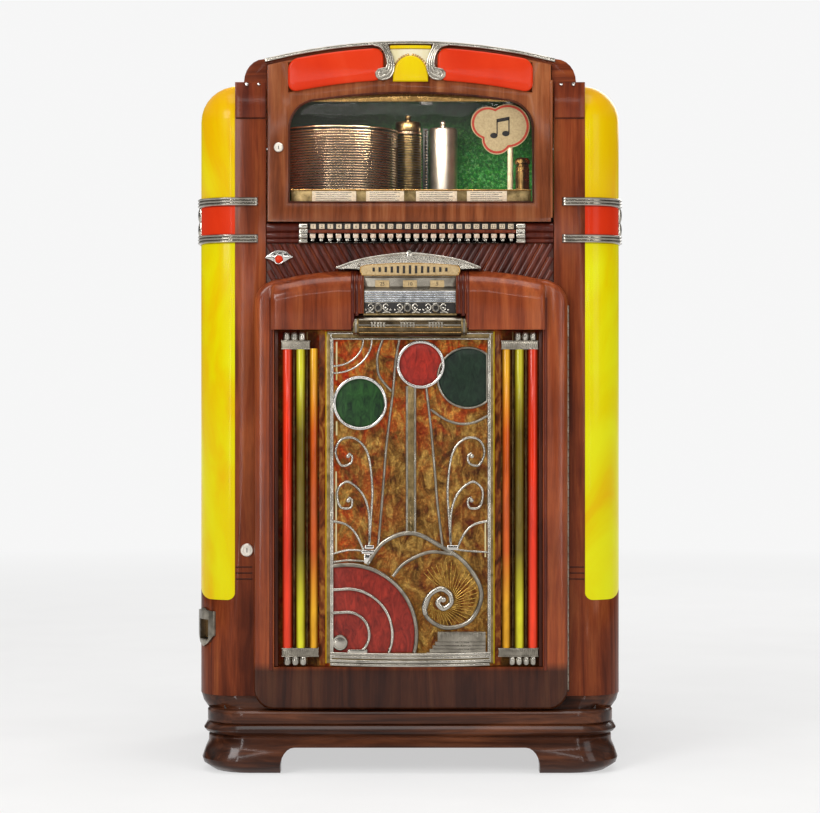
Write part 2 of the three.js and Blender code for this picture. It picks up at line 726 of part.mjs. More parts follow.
function grilleBars() {
  const scrollwork = [-1, 1].flatMap((side) => [
    stroke(smooth(mirrored(SCROLL, side), 24), 5),
    stroke(smooth(mirrored(LOWER_SCROLL, side), 18), 5),
    stroke(smooth(mirrored(LEAF, side), 5), 5),
  ]);
  const bars = [
    stroke(smooth([[-21, 868], [-33, 763], [-48, 639], [-64, 444]], 8), 5),
    stroke([[32, 770], [50, 593], [64, 448]], 5),
    stroke([[2, 474], [2, 774]], 16),
    stroke([[-156, 436], [-122, 444], [-80, 440]], 4),
    stroke([[-156, 420], [-122, 424], [-80, 422]], 4),
    stroke([[-84, 416], [-84, 456]], 12),
    stroke([[72, 449], [98, 449]], 10),
    stroke([[92, 445], [158, 440]], 4),
    stroke(arc(GRILLE_HOLE.left, GRILLE_HOLE.top, 57, 50, 270, 360, 6), 4),
    stroke(arc(GRILLE_HOLE.left, GRILLE_HOLE.top, 75, 64, 270, 360, 6), 4),
    stroke(smooth([[-55, 868], [-62, 806], [-36, 757]], 6), 5),
    stroke(smooth([[158, 715], [102, 697], [38, 735]], 6), 5),
  ];
  return [...scrollwork, ...bars];
}

function grilleCasting() {
  const { left, right, bottom, top, front: y0, back: y1 } = GRILLE;
  const frame = box(left, right, y0, y1, bottom, top).subtract(box(
    GRILLE_HOLE.left, GRILLE_HOLE.right, y0 - 5, y1 + 5, GRILLE_HOLE.bottom, GRILLE_HOLE.top,
  ));
  const pedestal = box(56, GRILLE_HOLE.right + 1, y0 + 1, y1 - 1, bottom + 1, 283);
  const rings = [grilleRing(21, 813, 46, 6), grilleRing(-99.6, 737, 52, 5), grilleRing(115, 786.5, 60.5, 4)];
  return union([
    frame,
    pedestal,
    ...grilleBars(),
    ...rings,
    fanArc(46, 7),
    fanArc(91, 7),
    fanArc(138, 8),
    stroke(smooth(SHELL, 44), 8),
    stroke(smooth(SHELL_LIP, 8), 6),
  ]).intersect(box(left, right, -400, 0, bottom, top));
}

function grilleBacking() {
  return box(DOOR_OPENING.left + GAP, DOOR_OPENING.right - GAP, -284, -280, DOOR_OPENING.bottom + GAP, 881);
}

function tubeRack(tubeX) {
  const ends = [[GRILLE.bottom, GRILLE.bottom + 38], [GRILLE.top - 38, GRILLE.top]];
  const x0 = Math.min(...tubeX) - TUBE_R - 3;
  const x1 = Math.max(...tubeX) + TUBE_R + 3;
  const tubes = tubeX.map((x) => upright(x, TUBE_Y, TUBE_R, GRILLE.bottom + 4, GRILLE.top - 4, 16));
  const caps = ends.map(([z0, z1]) => box(x0, x1, TUBE_Y - TUBE_R, TUBE_Y + TUBE_R, z0, z1));
  return union([...tubes, ...caps]);
}

// ---- coin return -----------------------------------------------------------------------------

function coinReturnCup() {
  const shield = frontGeometry([
    [-31, 318],
    [-14, 320],
    [0, 325],
    [14, 320],
    [31, 318],
    [31, 270],
    [16, 254],
    [0, 246],
    [-16, 254],
    [-31, 270],
  ], -100, -30);
  const ring = toSolid(uprightGeometry(0, 0, CORNER_R + 5, 200, 360, 72))
    .subtract(toSolid(uprightGeometry(0, 0, CORNER_R + GAP, 190, 370, 72)));
  const { half, back, bottom, top, wall } = CUP;
  const pocket = box(-half, half, -CORNER_R - 2, back, bottom, top)
    .intersect(toSolid(uprightGeometry(0, 0, CORNER_R + 5, 200, 360, 72)));
  const mouth = box(-half + wall, half - wall, -100, back - wall, bottom + wall, top - wall);
  const cup = toSolid(shield).intersect(ring).add(pocket).subtract(mouth);
  return toSolid(toCoinPlace(toGeometry(cup)));
}

function coinReturnFlap() {
  const { half, bottom, top, wall } = CUP;
  const flap = boxGeometry(-half + wall + 1, half - wall - 1, -66, -64, bottom + wall + 2, top - wall - 1);
  return toSolid(toCoinPlace(flap));
}

// ---- mechanism -------------------------------------------------------------------------------

function mechanismDeck() {
  const [z0, z1] = DECK_Z;
  const plate = box(-345, 345, -240, 290, z0, z1)
    .add(box(-HALF_WIDTH + WALL + GAP, HALF_WIDTH - WALL - GAP, -190, 290, z0, z1))
    .subtract(upright(TURNTABLE.x, TURNTABLE.y, TURNTABLE.shaftR + 1, z0 - 5, z1 + 5, 24));
  const posts = [POST, MOTOR, SMALL_POST, ARM_POST].map(
    ({ x, y, r, top }) => upright(x, y, r, z1 - 1, top, 20),
  );
  const finials = [POST, MOTOR].map(({ x, y, top }) => upright(x, y, 7, top - 1, top + 12, 16));
  const { half, front: backdropFront, back: backdropBack, top: backdropTop } = BACKDROP;
  const backdrop = box(-half, half, backdropFront, backdropBack, z1 - 1, backdropTop);
  return union([plate, backdrop, ...posts, ...finials]);
}

// A hub that turns on the tray post, wide enough to join the ring beside it.
function trayHub(z0, z1) {
  return upright(POST.x, POST.y, POST.r + 11, z0, z1, 16);
}

function postBore(z0, z1) {
  return upright(POST.x, POST.y, POST.r + 0.6, z0 - 5, z1 + 5, 20);
}

function recordTrayStack() {
  const { x, y, r, bottom, top } = STACK;
  return upright(x, y, r, bottom, top, 32)
    .add(trayHub(bottom, top))
    .subtract(postBore(bottom, top));
}

function recordTray() {
  const z0 = STACK.top + 2;
  const z1 = z0 + 6;
  return upright(STACK.x, STACK.y, STACK.r, z0, z1, 32)
    .subtract(upright(STACK.x, STACK.y, 84, z0 - 5, z1 + 5, 32))
    .add(trayHub(z0, z1))
    .subtract(postBore(z0, z1));
}

function turntableShaft() {
  return upright(TURNTABLE.x, TURNTABLE.y, TURNTABLE.shaftR, 930, TURNTABLE.bottom - GAP, 24);
}

function turntable() {
  const { x, y, r, bottom, top } = TURNTABLE;
  return upright(x, y, r, bottom, top, 32)
    .add(upright(x, y, 3.5, top - 1, top + 12, 12));
}

function tonearm() {
  const armZ = 1382;
  const length = 195;
  const restDegrees = 188;
  const tubeR = 6;
  const tube = new THREE.CylinderGeometry(tubeR, tubeR, length, 16)
    .rotateZ(Math.PI / 2)
    .translate(length / 2, 0, armZ);
  const head = boxGeometry(length - 26, length, -9, 9, armZ - 14, armZ + 7);
  const hub = uprightGeometry(0, 0, 16, ARM_POST.top + GAP, armZ + 10, 24);
  const arm = union([tube, head, hub].map(toSolid));
  const turn = THREE.MathUtils.degToRad(restDegrees);
  return toSolid(toGeometry(arm).rotateZ(turn).translate(ARM_POST.x, ARM_POST.y, 0));
}

function loudspeaker() {
  const centreZ = 600;
  const boardFront = FRONT + WALL + GAP;
  const boardBack = boardFront + 12;
  const board = box(-345, 345, boardFront, boardBack, 250, 900);
  const basket = new THREE.LatheGeometry([
    new THREE.Vector2(0, -8),
    new THREE.Vector2(60, 0),
    new THREE.Vector2(150, 0),
    new THREE.Vector2(150, 12),
    new THREE.Vector2(72, 70),
    new THREE.Vector2(62, 70),
    new THREE.Vector2(62, 130),
    new THREE.Vector2(0, 130),
  ], 24);
  const driver = toSolid(basket.translate(0, boardBack - 4, centreZ));
  const throat = new THREE.CylinderGeometry(135, 135, 60, 24).translate(0, boardFront, centreZ);
  return board
    .subtract(toSolid(throat).intersect(box(-200, 200, -400, boardBack - 4, 0, 1500)))
    .add(driver);
}

function amplifier() {
  const z0 = BODY_Z + GAP;
  const valves = [-120, -60, 0, 60].map((x) => upright(x, 90, 18, z0 + 55, z0 + 150, 16));
  return union([
    box(-180, 180, 40, 240, z0, z0 + 60),
    ...valves,
    box(60, 150, 150, 225, z0 + 55, z0 + 150),
    box(-150, -80, 150, 220, z0 + 55, z0 + 130),
  ]);
}

// ---- assembly --------------------------------------------------------------------------------

const jukebox = new THREE.Group();
jukebox.name = 'jukebox';

function place(name, solid, material) {
  const mesh = new THREE.Mesh(toGeometry(solid), material);
  mesh.name = name;
  jukebox.add(mesh);
}

const SIDES = [['left', -1], ['right', 1]];

SIDES.forEach(([name, side]) => {
  place(`side_panel_${name}`, sidePanel(side), walnut);
  place(`corner_lens_${name}_upper`, upperLens(side), yellowPlastic);
  place(`corner_lens_${name}_lower`, lowerLens(side), yellowPlastic);
  place(`band_trim_${name}`, bandTrim(side), nickel);
});
place('roof_panel', roofPanel(), walnut);
place('base_plinth', basePlinth(), darkWalnut);
place('header_panel', headerPanel(), darkWalnut);
place('back_door', backDoor(), darkWalnut);

place('display_door_frame', displayDoorFrame(), walnut);
place('display_glass', displayGlass(), glass);
place('crown_lens', crownLens(), redPlastic);

place('keyboard_rail', keyboardRail(), darkWalnut);
for (let index = 0; index < KEY_COUNT; index += 1) {
  const number = String(index + 1).padStart(2, '0');
  place(`selector_key_${number}`, selectorKey(index), ivory);
}

place('front_door_frame', frontDoorFrame(), walnut);
place('coin_head_casting', coinHeadCasting(), nickel);
['left', 'centre', 'right'].forEach((name, i) => {
  place(`coin_slide_${name}`, coinSlide(SLIDE_X[i]), chrome);
});
place('grille_casting', grilleCasting(), nickel);
place('grille_backing', grilleBacking(), goldCloth);
place('tube_rack_left', tubeRack([-244, -215, -189]), greenPlastic);
place('tube_rack_right', tubeRack([188, 213, 244]), greenPlastic);

place('coin_return_cup', coinReturnCup(), nickel);
place('coin_return_flap', coinReturnFlap(), brass);

place('mechanism_deck', mechanismDeck(), blackIron);
place('record_tray_stack', recordTrayStack(), shellac);
place('record_tray', recordTray(), chrome);
place('turntable_shaft', turntableShaft(), chrome);
place('turntable', turntable(), blackIron);
place('tonearm', tonearm(), chrome);
place('loudspeaker', loudspeaker(), blackIron);
place('amplifier', amplifier(), blackIron);

export default jukebox;
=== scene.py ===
"""Looks for the jukebox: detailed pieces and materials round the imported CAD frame, in metres."""
import math
import random

import bmesh
import bpy
from mathutils import Matrix, Vector


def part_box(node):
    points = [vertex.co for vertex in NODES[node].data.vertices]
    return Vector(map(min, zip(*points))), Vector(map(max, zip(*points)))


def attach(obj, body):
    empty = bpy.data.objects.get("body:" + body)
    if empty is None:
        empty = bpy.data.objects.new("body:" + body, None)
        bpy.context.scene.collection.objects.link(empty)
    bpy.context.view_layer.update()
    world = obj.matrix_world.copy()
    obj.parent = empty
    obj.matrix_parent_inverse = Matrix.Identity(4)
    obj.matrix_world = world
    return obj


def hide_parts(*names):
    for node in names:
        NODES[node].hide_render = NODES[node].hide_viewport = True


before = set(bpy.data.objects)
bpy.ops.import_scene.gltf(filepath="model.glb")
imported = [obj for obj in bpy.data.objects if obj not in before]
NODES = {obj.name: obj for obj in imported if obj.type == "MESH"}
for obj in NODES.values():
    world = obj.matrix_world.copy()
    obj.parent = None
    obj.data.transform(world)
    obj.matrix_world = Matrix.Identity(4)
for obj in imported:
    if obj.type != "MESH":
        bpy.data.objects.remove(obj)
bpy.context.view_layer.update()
MM = 0.001

# ---- places read from the frame, in millimetres ----------------------------------------------


def box_mm(node):
    low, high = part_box(node)
    return low / MM, high / MM


ROOF_HIGH = box_mm("roof_panel")[1]
DOOR_LOW, DOOR_HIGH = box_mm("front_door_frame")
DISPLAY_LOW, DISPLAY_HIGH = box_mm("display_door_frame")
GRILLE_LOW, GRILLE_HIGH = box_mm("grille_casting")
SCREEN_LOW, SCREEN_HIGH = box_mm("grille_backing")
BAND_LOW, BAND_HIGH = box_mm("band_trim_left")
HEADER_LOW, HEADER_HIGH = box_mm("header_panel")
STACK_LOW, STACK_HIGH = box_mm("record_tray_stack")

HALF_WIDTH = ROOF_HIGH.x
FRONT = HEADER_LOW.y
CORNER_R = HALF_WIDTH - 350
CORNER_X = HALF_WIDTH - CORNER_R
CORNER_Y = FRONT + CORNER_R
CROWN_TOP = ROOF_HIGH.z
CROWN_HALF = 292
CROWN_SAG = 36
CROWN_R = (CROWN_HALF ** 2 + CROWN_SAG ** 2) / (2 * CROWN_SAG)
CROWN_CENTRE_Z = CROWN_TOP - CROWN_R


def crown_z(x, inset):
    """Height of the arch that runs inset below the crown's top, at x."""
    return CROWN_CENTRE_Z + math.sqrt((CROWN_R - inset) ** 2 - x ** 2)


# ---- materials -------------------------------------------------------------------------------


def linear(shade):
    """The colour a socket takes, from a grey level or from 0 to 255 of red, green and blue."""
    if isinstance(shade, (int, float)):
        return (shade, shade, shade, 1)
    if len(shade) == 4:
        return shade
    levels = [value / 255 for value in shade]
    return (*(v / 12.92 if v <= 0.04045 else ((v + 0.055) / 1.055) ** 2.4 for v in levels), 1)


class Shader:
    """A Principled material and short calls for the nodes that feed it."""

    def __init__(self, name, roughness=0.4, metallic=0.0, coat=0.0, specular=0.35):
        self.material = bpy.data.materials.new(name)
        self.material.use_nodes = True
        self.tree = self.material.node_tree
        self.bsdf = self.tree.nodes["Principled BSDF"]
        self.bsdf.inputs["Roughness"].default_value = roughness
        self.bsdf.inputs["Metallic"].default_value = metallic
        self.bsdf.inputs["Coat Weight"].default_value = coat
        self.bsdf.inputs["Coat Roughness"].default_value = 0.12
        self.bsdf.inputs["Specular IOR Level"].default_value = specular
        self.coords = self.tree.nodes.new("ShaderNodeTexCoord").outputs["Object"]

    def link(self, output, node, socket):
        self.tree.links.new(output, node.inputs[socket])

    def stretch(self, scale, turn=(0, 0, 0)):
        node = self.tree.nodes.new("ShaderNodeMapping")
        node.inputs["Scale"].default_value = scale
        node.inputs["Rotation"].default_value = turn
        self.link(self.coords, node, "Vector")
        return node.outputs["Vector"]

    def noise(self, scale, detail=4, rough=0.55, distortion=0.0, vector=None):
        node = self.tree.nodes.new("ShaderNodeTexNoise")
        node.inputs["Scale"].default_value = scale
        node.inputs["Detail"].default_value = detail
        node.inputs["Roughness"].default_value = rough
        node.inputs["Distortion"].default_value = distortion
        self.link(vector or self.coords, node, "Vector")
        return node.outputs["Fac"]

    def cells(self, scale, vector=None, feature="F1"):
        node = self.tree.nodes.new("ShaderNodeTexVoronoi")
        node.feature = feature
        node.inputs["Scale"].default_value = scale
        self.link(vector or self.coords, node, "Vector")
        return node

    def wave(self, scale, direction, vector=None, distortion=0.0):
        node = self.tree.nodes.new("ShaderNodeTexWave")
        node.wave_type = "BANDS"
        node.bands_direction = direction
        node.inputs["Scale"].default_value = scale
        node.inputs["Distortion"].default_value = distortion
        self.link(vector or self.coords, node, "Vector")
        return node.outputs["Fac"]

    def ramp(self, value, stops):
        node = self.tree.nodes.new("ShaderNodeValToRGB")
        elements = node.color_ramp.elements
        while len(elements) < len(stops):
            elements.new(0.5)
        for element, (place, colour) in zip(elements, stops):
            element.position = place
            element.color = linear(colour)
        self.link(value, node, "Fac")
        return node.outputs["Color"]

    def mix(self, factor, first, second, mode="MIX"):
        node = self.tree.nodes.new("ShaderNodeMix")
        node.data_type = "RGBA"
        node.blend_type = mode
        for socket, value in ((0, factor), (6, first), (7, second)):
            if isinstance(value, bpy.types.NodeSocket):
                self.tree.links.new(value, node.inputs[socket])
            else:
                node.inputs[socket].default_value = linear(value) if socket else value
        return node.outputs[2]

    def remap(self, value, low, high, to_low=0, to_high=1):
        node = self.tree.nodes.new("ShaderNodeMapRange")
        ends = {"From Min": low, "From Max": high, "To Min": to_low, "To Max": to_high}
        for socket, end in ends.items():
            node.inputs[socket].default_value = end
        self.link(value, node, "Value")
        return node.outputs["Result"]

    def along(self, axis, low, high):
        """0 at low to 1 at high along an axis, in millimetres."""
        split = self.tree.nodes.new("ShaderNodeSeparateXYZ")
        self.link(self.coords, split, "Vector")
        return self.remap(split.outputs[axis], low * MM, high * MM)

    def distance(self, low, high):
        """0 within low of the origin to 1 beyond high, in millimetres."""
        length = self.tree.nodes.new("ShaderNodeVectorMath")
        length.operation = "LENGTH"
        self.link(self.coords, length, "Vector")
        return self.remap(length.outputs["Value"], low * MM, high * MM)

    def sideways(self):
        """0 where a face looks to the front, 1 where it looks to a side."""
        split = self.tree.nodes.new("ShaderNodeSeparateXYZ")
        self.link(self.tree.nodes.new("ShaderNodeTexCoord").outputs["Normal"], split, "Vector")
        return self.remap(split.outputs["Y"], -1, 0)

    def bump(self, height, strength, distance):
        node = self.tree.nodes.new("ShaderNodeBump")
        node.inputs["Strength"].default_value = strength
        node.inputs["Distance"].default_value = distance
        self.link(height, node, "Height")
        self.link(node.outputs["Normal"], self.bsdf, "Normal")

    def colour(self, output):
        self.link(output, self.bsdf, "Base Color")

    def rough(self, value, low, high):
        self.link(self.remap(value, 0, 1, low, high), self.bsdf, "Roughness")

    def glow(self, output, strength):
        self.link(output, self.bsdf, "Emission Color")
        self.bsdf.inputs["Emission Strength"].default_value = strength


def wood(name, dark, middle, light, coat=0.2, across=False, stain_and_shade=None):
    """Lacquered walnut: long fine grain, broad figure and dark pores, and darker below a height: painted
    shade low on the cabinet sides, a real stain on the door's foot rail.
    """
    shader = Shader(name, coat=coat, specular=0.06)
    stretched = (2.2, 34, 34) if across else (34, 34, 2.2)
    grain_space = shader.stretch(stretched)
    figure = shader.noise(0.9, 5, 0.6, 1.2, grain_space)
    fine = shader.noise(6, 6, 0.7, 0.4, grain_space)
    blotch = shader.noise(4, 4, 0.6)
    body = shader.ramp(figure, [(0.32, dark), (0.5, middle), (0.7, light)])
    streak = shader.ramp(fine, [(0.36, (0.6, 0.55, 0.52, 1)), (0.58, 1)])
    patch = shader.ramp(blotch, [(0.34, (0.62, 0.54, 0.5, 1)), (0.66, (1.15, 1.1, 1.0, 1))])
    tone = shader.mix(0.9, shader.mix(0.6, body, streak, "MULTIPLY"), patch, "MULTIPLY")
    # darker below a height: painted shade when the colour is SHADE, a real stain when it is STAIN
    if stain_and_shade:
        low, high, depth = stain_and_shade
        stain_and_shade_ramp = shader.ramp(shader.along("Z", low, high), [(0.0, depth), (1.0, 1)])
        tone = shader.mix(1.0, tone, stain_and_shade_ramp, "MULTIPLY")
    shader.colour(tone)
    shader.rough(blotch, 0.22, 0.4)
    shader.bump(fine, 0.12, 0.0004)
    return shader.material


def metal(name, dark, light, roughness=(0.2, 0.42), scale=60):
    """Plated or cast metal with a faint patina."""
    shader = Shader(name, metallic=1.0)
    patina = shader.noise(scale, 5, 0.6, 0.3)
    shader.colour(shader.ramp(patina, [(0.3, dark), (0.66, light)]))
    shader.rough(patina, roughness[1], roughness[0])
    shader.bump(patina, 0.06, 0.0004)
    return shader.material


def lit_plastic(name, stops, glow, stretched=(6, 6, 2.2), shaded=None):
    """Marbled translucent plastic with lamps behind it."""
    shader = Shader(name, roughness=0.3, coat=0.1, specular=0.06)
    space = shader.stretch(stretched)
    marble = shader.noise(1.3, 4, 0.5, 1.2, space)
    tone = shader.ramp(marble, stops)
    if shaded:
        low, high, colour = shaded
        edge = shader.ramp(shader.along("Z", low, high), [(0.0, 0), (1.0, 0.9)])
        tone = shader.mix(edge, tone, colour)
    shader.colour(shader.mix(0.55, tone, (0.02, 0.01, 0, 1)))
    shader.glow(tone, glow)
    shader.bump(marble, 0.05, 0.001)
    return shader.material


def painted(name, dark, light, roughness=0.45, scale=90):
    shader = Shader(name, roughness=roughness)
    speckle = shader.noise(scale, 5, 0.65)
    shader.colour(shader.ramp(speckle, [(0.35, dark), (0.65, light)]))
    shader.rough(speckle, roughness - 0.08, roughness + 0.1)
    shader.bump(speckle, 0.08, 0.0004)
    return shader.material


def glitter(name):
    """Green flock with bright flakes, with painted shade towards the top and the left of the compartment and
    a painted glow.
    """
    shader = Shader(name, roughness=0.7, specular=0.2)
    flakes = shader.cells(240).outputs["Color"]
    grey = shader.noise(190, 3, 0.85, 0.0)
    body = shader.ramp(grey, [(0.34, (10, 62, 18)), (0.52, (26, 104, 34)), (0.7, (110, 168, 96))])
    flecks = shader.mix(0.35, body, flakes, "SOFT_LIGHT")
    # painted shade: the flock darkens towards the top and the left of the compartment
    painted_top_shade = shader.ramp(shader.along("Z", 1225, 1345), [(0.0, 1), (1.0, 0.08)])
    aside = shader.ramp(shader.along("X", -150, 60), [(0.0, 0.2), (1.0, 1)])
    tone = shader.mix(1.0, shader.mix(1.0, flecks, painted_top_shade, "MULTIPLY"), aside, "MULTIPLY")
    shader.colour(tone)
    # painted glow: the flock lights itself though it is no lamp
    shader.glow(tone, 0.22)
    shader.bump(grey, 0.5, 0.002)
    return shader.material


def screen_cloth(name):
    """Woven gold screen, red and orange where the lamps behind it show at the left and the top."""
    shader = Shader(name, roughness=0.6, metallic=0.2, specular=0.2)
    streaks = shader.noise(34, 5, 0.7, 1.4, shader.stretch((1.0, 1, 0.55)))
    sparks = shader.noise(210, 3, 0.8, 0.0)
    gold = shader.ramp(streaks, [
        (0.36, (66, 42, 22)), (0.5, (128, 92, 40)), (0.64, (190, 152, 80)),
    ])
    hot = shader.ramp(streaks, [
        (0.36, (178, 40, 20)), (0.5, (196, 74, 28)), (0.64, (214, 146, 60)),
    ])
    high = shader.ramp(shader.along("Z", 560, 850), [(0.0, 0.12), (1.0, 0.9)])
    left = shader.ramp(shader.along("X", -150, -20), [(0.0, 0.8), (1.0, 0.08)])
    patches = shader.ramp(shader.noise(16, 4, 0.65, 1.0), [(0.42, 0.1), (0.58, 1)])
    heat = shader.mix(1.0, shader.mix(1.0, high, left, "SCREEN"), patches, "MULTIPLY")
    spark = shader.ramp(sparks, [(0.46, (0.62, 0.6, 0.56, 1)), (0.66, (1.5, 1.45, 1.3, 1))])
    tone = shader.mix(0.8, shader.mix(heat, gold, hot), spark, "MULTIPLY")
    dark, open_screen = (0.16, 0.12, 0.1, 1), 1
    for low, high in ((-186, -172), (186, 172)):
        shadow = shader.ramp(shader.along("X", low, high), [(0.0, dark), (1.0, open_screen)])
        tone = shader.mix(1.0, tone, shadow, "MULTIPLY")
    weave = shader.mix(0.5, shader.wave(230, "X"), shader.wave(210, "Z"), "MULTIPLY")
    shader.colour(shader.mix(0.5, tone, weave, "MULTIPLY"))
    shader.glow(tone, 0.36)
    shader.bump(weave, 0.6, 0.0015)
    return shader.material


def lens_glass(name, dark, light, glow):
    """Crinkled coloured glass over the screen."""
    shader = Shader(name, roughness=0.34, coat=0.06, specular=0.18)
    crinkle = shader.noise(60, 5, 0.7, 1.5, shader.stretch((1.2, 1, 0.5)))
    tone = shader.ramp(crinkle, [(0.32, dark), (0.72, light)])
    shader.colour(tone)
    shader.glow(tone, glow)
    shader.bump(crinkle, 0.35, 0.001)
    return shader.material


def tube_plastic(name, ends, middle, glow):
    """A lit tube with bubbles: bright beside the lamps at its ends, deeper between, with painted shade
    darkening its sides and a painted highlight where it faces the front.
    """
    shader = Shader(name, roughness=0.12, coat=0.16, specular=0.2)
    bubbles = shader.noise(3, 3, 0.6, 0.6, shader.stretch((14, 14, 2.4)))
    light = shader.ramp(shader.along("Z", 222, 872), [
        (0.0, ends), (0.16, ends), (0.34, middle), (0.7, middle), (0.9, ends),
    ])
    shade = shader.ramp(bubbles, [(0.3, (0.66, 0.6, 0.54, 1)), (0.62, (1.05, 1.05, 1, 1))])
    # painted shade towards the tube's sides, and a slight painted highlight on the faces that look to the
    # front
    painted_edge_shade = shader.ramp(shader.sideways(), [
        (0.0, 1.15), (0.13, (0.92, 0.9, 0.88, 1)), (0.3, (0.5, 0.46, 0.44, 1)),
        (0.5, (0.28, 0.24, 0.22, 1)), (0.8, (0.14, 0.11, 0.1, 1)),
    ])
    tone = shader.mix(1.0, shader.mix(1.0, light, shade, "MULTIPLY"), painted_edge_shade, "MULTIPLY")
    shader.colour(shader.mix(0.75, tone, (0.01, 0.005, 0, 1)))
    shader.glow(tone, glow)
    return shader.material


def card_stock(name, dark, light):
    shader = Shader(name, roughness=0.6, specular=0.2)
    fibres = shader.noise(240, 3, 0.7)
    shader.colour(shader.ramp(fibres, [(0.3, dark), (0.7, light)]))
    shader.bump(fibres, 0.05, 0.0003)
    return shader.material


def clear_glass(name):
    shader = Shader(name, roughness=0.03, specular=0.3)
    haze = shader.noise(6, 3)
    shader.colour(shader.ramp(haze, [(0.3, (0.04, 0.05, 0.05, 1)), (0.7, (0.08, 0.09, 0.09, 1))]))
    shader.bsdf.inputs["Alpha"].default_value = 0.06
    return shader.material


# SHADE is painted shade that darkens the cabinet sides towards the floor; STAIN is the real dark stain on the
# door's foot rail.
SHADE = (0.74, 0.72, 0.74, 1)
STAIN = (0.2, 0.26, 0.36, 1)
WALNUT_TONES = ((80, 33, 16), (118, 54, 27), (142, 76, 40))
WALNUT = wood("walnut", *WALNUT_TONES, 0.12, stain_and_shade=(140, 460, SHADE))
WALNUT_ROOF = wood("walnut_roof", *WALNUT_TONES, 0.12, True)
WALNUT_FRAME = wood("walnut_frame", (92, 46, 24), (126, 68, 38), (148, 94, 60), 0.16)
WALNUT_RED = wood("walnut_red", (78, 30, 18), (110, 48, 26), (132, 66, 34), 0.16)
WALNUT_DOOR = wood("walnut_door", (92, 38, 18), (130, 60, 30), (154, 82, 44), 0.34,
                   stain_and_shade=(204, 222, STAIN))
WALNUT_PLUM = wood("walnut_plum", (52, 18, 12), (82, 32, 22), (106, 48, 30), 0.3)
WALNUT_DARK = wood("walnut_dark", (34, 16, 11), (66, 32, 22), (90, 46, 30), 0.1)
WALNUT_ACROSS = wood("walnut_across", (30, 14, 8), (62, 32, 18), (98, 56, 34), 0.36, True)
NICKEL = metal("nickel", (136, 130, 120), (194, 188, 176), (0.14, 0.28), 22)
NICKEL_DULL = metal("nickel_dull", (104, 98, 88), (158, 151, 138), (0.22, 0.36), 34)
BRUSHED = metal("brushed_nickel", (186, 178, 166), (226, 218, 206), (0.33, 0.42), 20)
SILVER = metal("silver", (130, 134, 140), (196, 198, 200), (0.16, 0.3), 60)
CHROME = metal("chrome", (172, 168, 162), (220, 216, 210), (0.08, 0.18), 30)
BRONZE = metal("bronze", (52, 42, 30), (110, 94, 70), (0.22, 0.36), 40)
BRASS = metal("brass", (116, 86, 46), (186, 148, 90), (0.2, 0.36), 50)
BRASS_OLD = metal("old_brass", (84, 70, 44), (150, 128, 88), (0.26, 0.42), 60)
GOLD = metal("gold", (140, 104, 40), (206, 168, 84), (0.2, 0.36), 120)
TRAY_METAL = metal("tray_metal", (168, 142, 116), (212, 190, 162), (0.24, 0.3), 5)
STEEL = metal("steel", (110, 106, 98), (190, 184, 172), (0.18, 0.34), 50)
IRON = painted("black_enamel", (16, 16, 17), (34, 34, 34), 0.4)
RECORD = painted("shellac", (8, 8, 8), (22, 20, 20), 0.25, 220)
IVORY = painted("ivory", (206, 190, 152), (238, 228, 200), 0.3, 120)
KEY_IVORY = painted("key_ivory", (150, 122, 100), (208, 190, 170), 0.2, 140)
# black ink for print, and also painted shade: black blocks that stand for the dark inside of keyways,
# piercings and the coin-entry recess
INK_AND_SHADE = painted("black_ink_and_painted_shade", (14, 12, 10), (34, 28, 24), 0.5, 200)
RED_PAINT = painted("red_ink", (150, 40, 24), (182, 58, 36), 0.5, 160)
CARD = card_stock("card", (196, 176, 146), (226, 208, 182))
ENAMEL = card_stock("cream_enamel", (152, 128, 90), (186, 162, 120))
PAPER = card_stock("sticker_paper", (162, 140, 102), (188, 166, 126))
GLASS = clear_glass("window_glass")
GLITTER = glitter("green_glitter")
SCREEN = screen_cloth("gold_screen")
YELLOW_TOP = lit_plastic(
    "yellow_plastic_upper",
    [(0.34, (218, 168, 0)), (0.55, (218, 192, 0)), (0.75, (220, 206, 6))],
    0.55,
    shaded=(1300, 1384, (212, 150, 0)),
)
YELLOW = lit_plastic(
    "yellow_plastic_lower",
    [(0.3, (216, 176, 0)), (0.44, (214, 198, 0)), (0.68, (216, 218, 20))],
    0.55,
)
RED_LIT = lit_plastic(
    "red_plastic", [(0.3, (206, 40, 14)), (0.6, (218, 52, 22)), (0.8, (224, 70, 40))], 0.45,
)
AMBER_LIT = lit_plastic(
    "amber_plastic", [(0.3, (216, 166, 4)), (0.7, (224, 196, 8))], 0.5,
)
CREAM_LIT = lit_plastic(
    "cream_plastic", [(0.3, (226, 206, 120)), (0.7, (244, 236, 206))], 0.35,
)
FLAME = lit_plastic(
    "flame_strip", [(0.34, (70, 28, 14)), (0.5, (128, 58, 24)), (0.7, (180, 120, 50))], 0.3, (60, 60, 22),
)
JEWEL_RED = lens_glass("red_glass", (92, 20, 14), (162, 42, 28), 0.2)
FAN_RED = lens_glass("red_fan_glass", (78, 22, 18), (142, 44, 32), 0.26)
JEWEL_GREEN = lens_glass("green_glass", (10, 28, 16), (38, 78, 32), 0.2)
JEWEL_DARK = lens_glass("dark_green_glass", (10, 20, 15), (28, 48, 32), 0.14)
TUBE_RED = tube_plastic("tube_red", (232, 58, 30), (222, 48, 24), 0.72)
TUBE_GREEN = tube_plastic("tube_green", (212, 208, 40), (110, 96, 28), 0.7)
TUBE_ORANGE = tube_plastic("tube_orange", (232, 170, 30), (196, 84, 24), 0.7)

# ---- shapes ----------------------------------------------------------------------------------


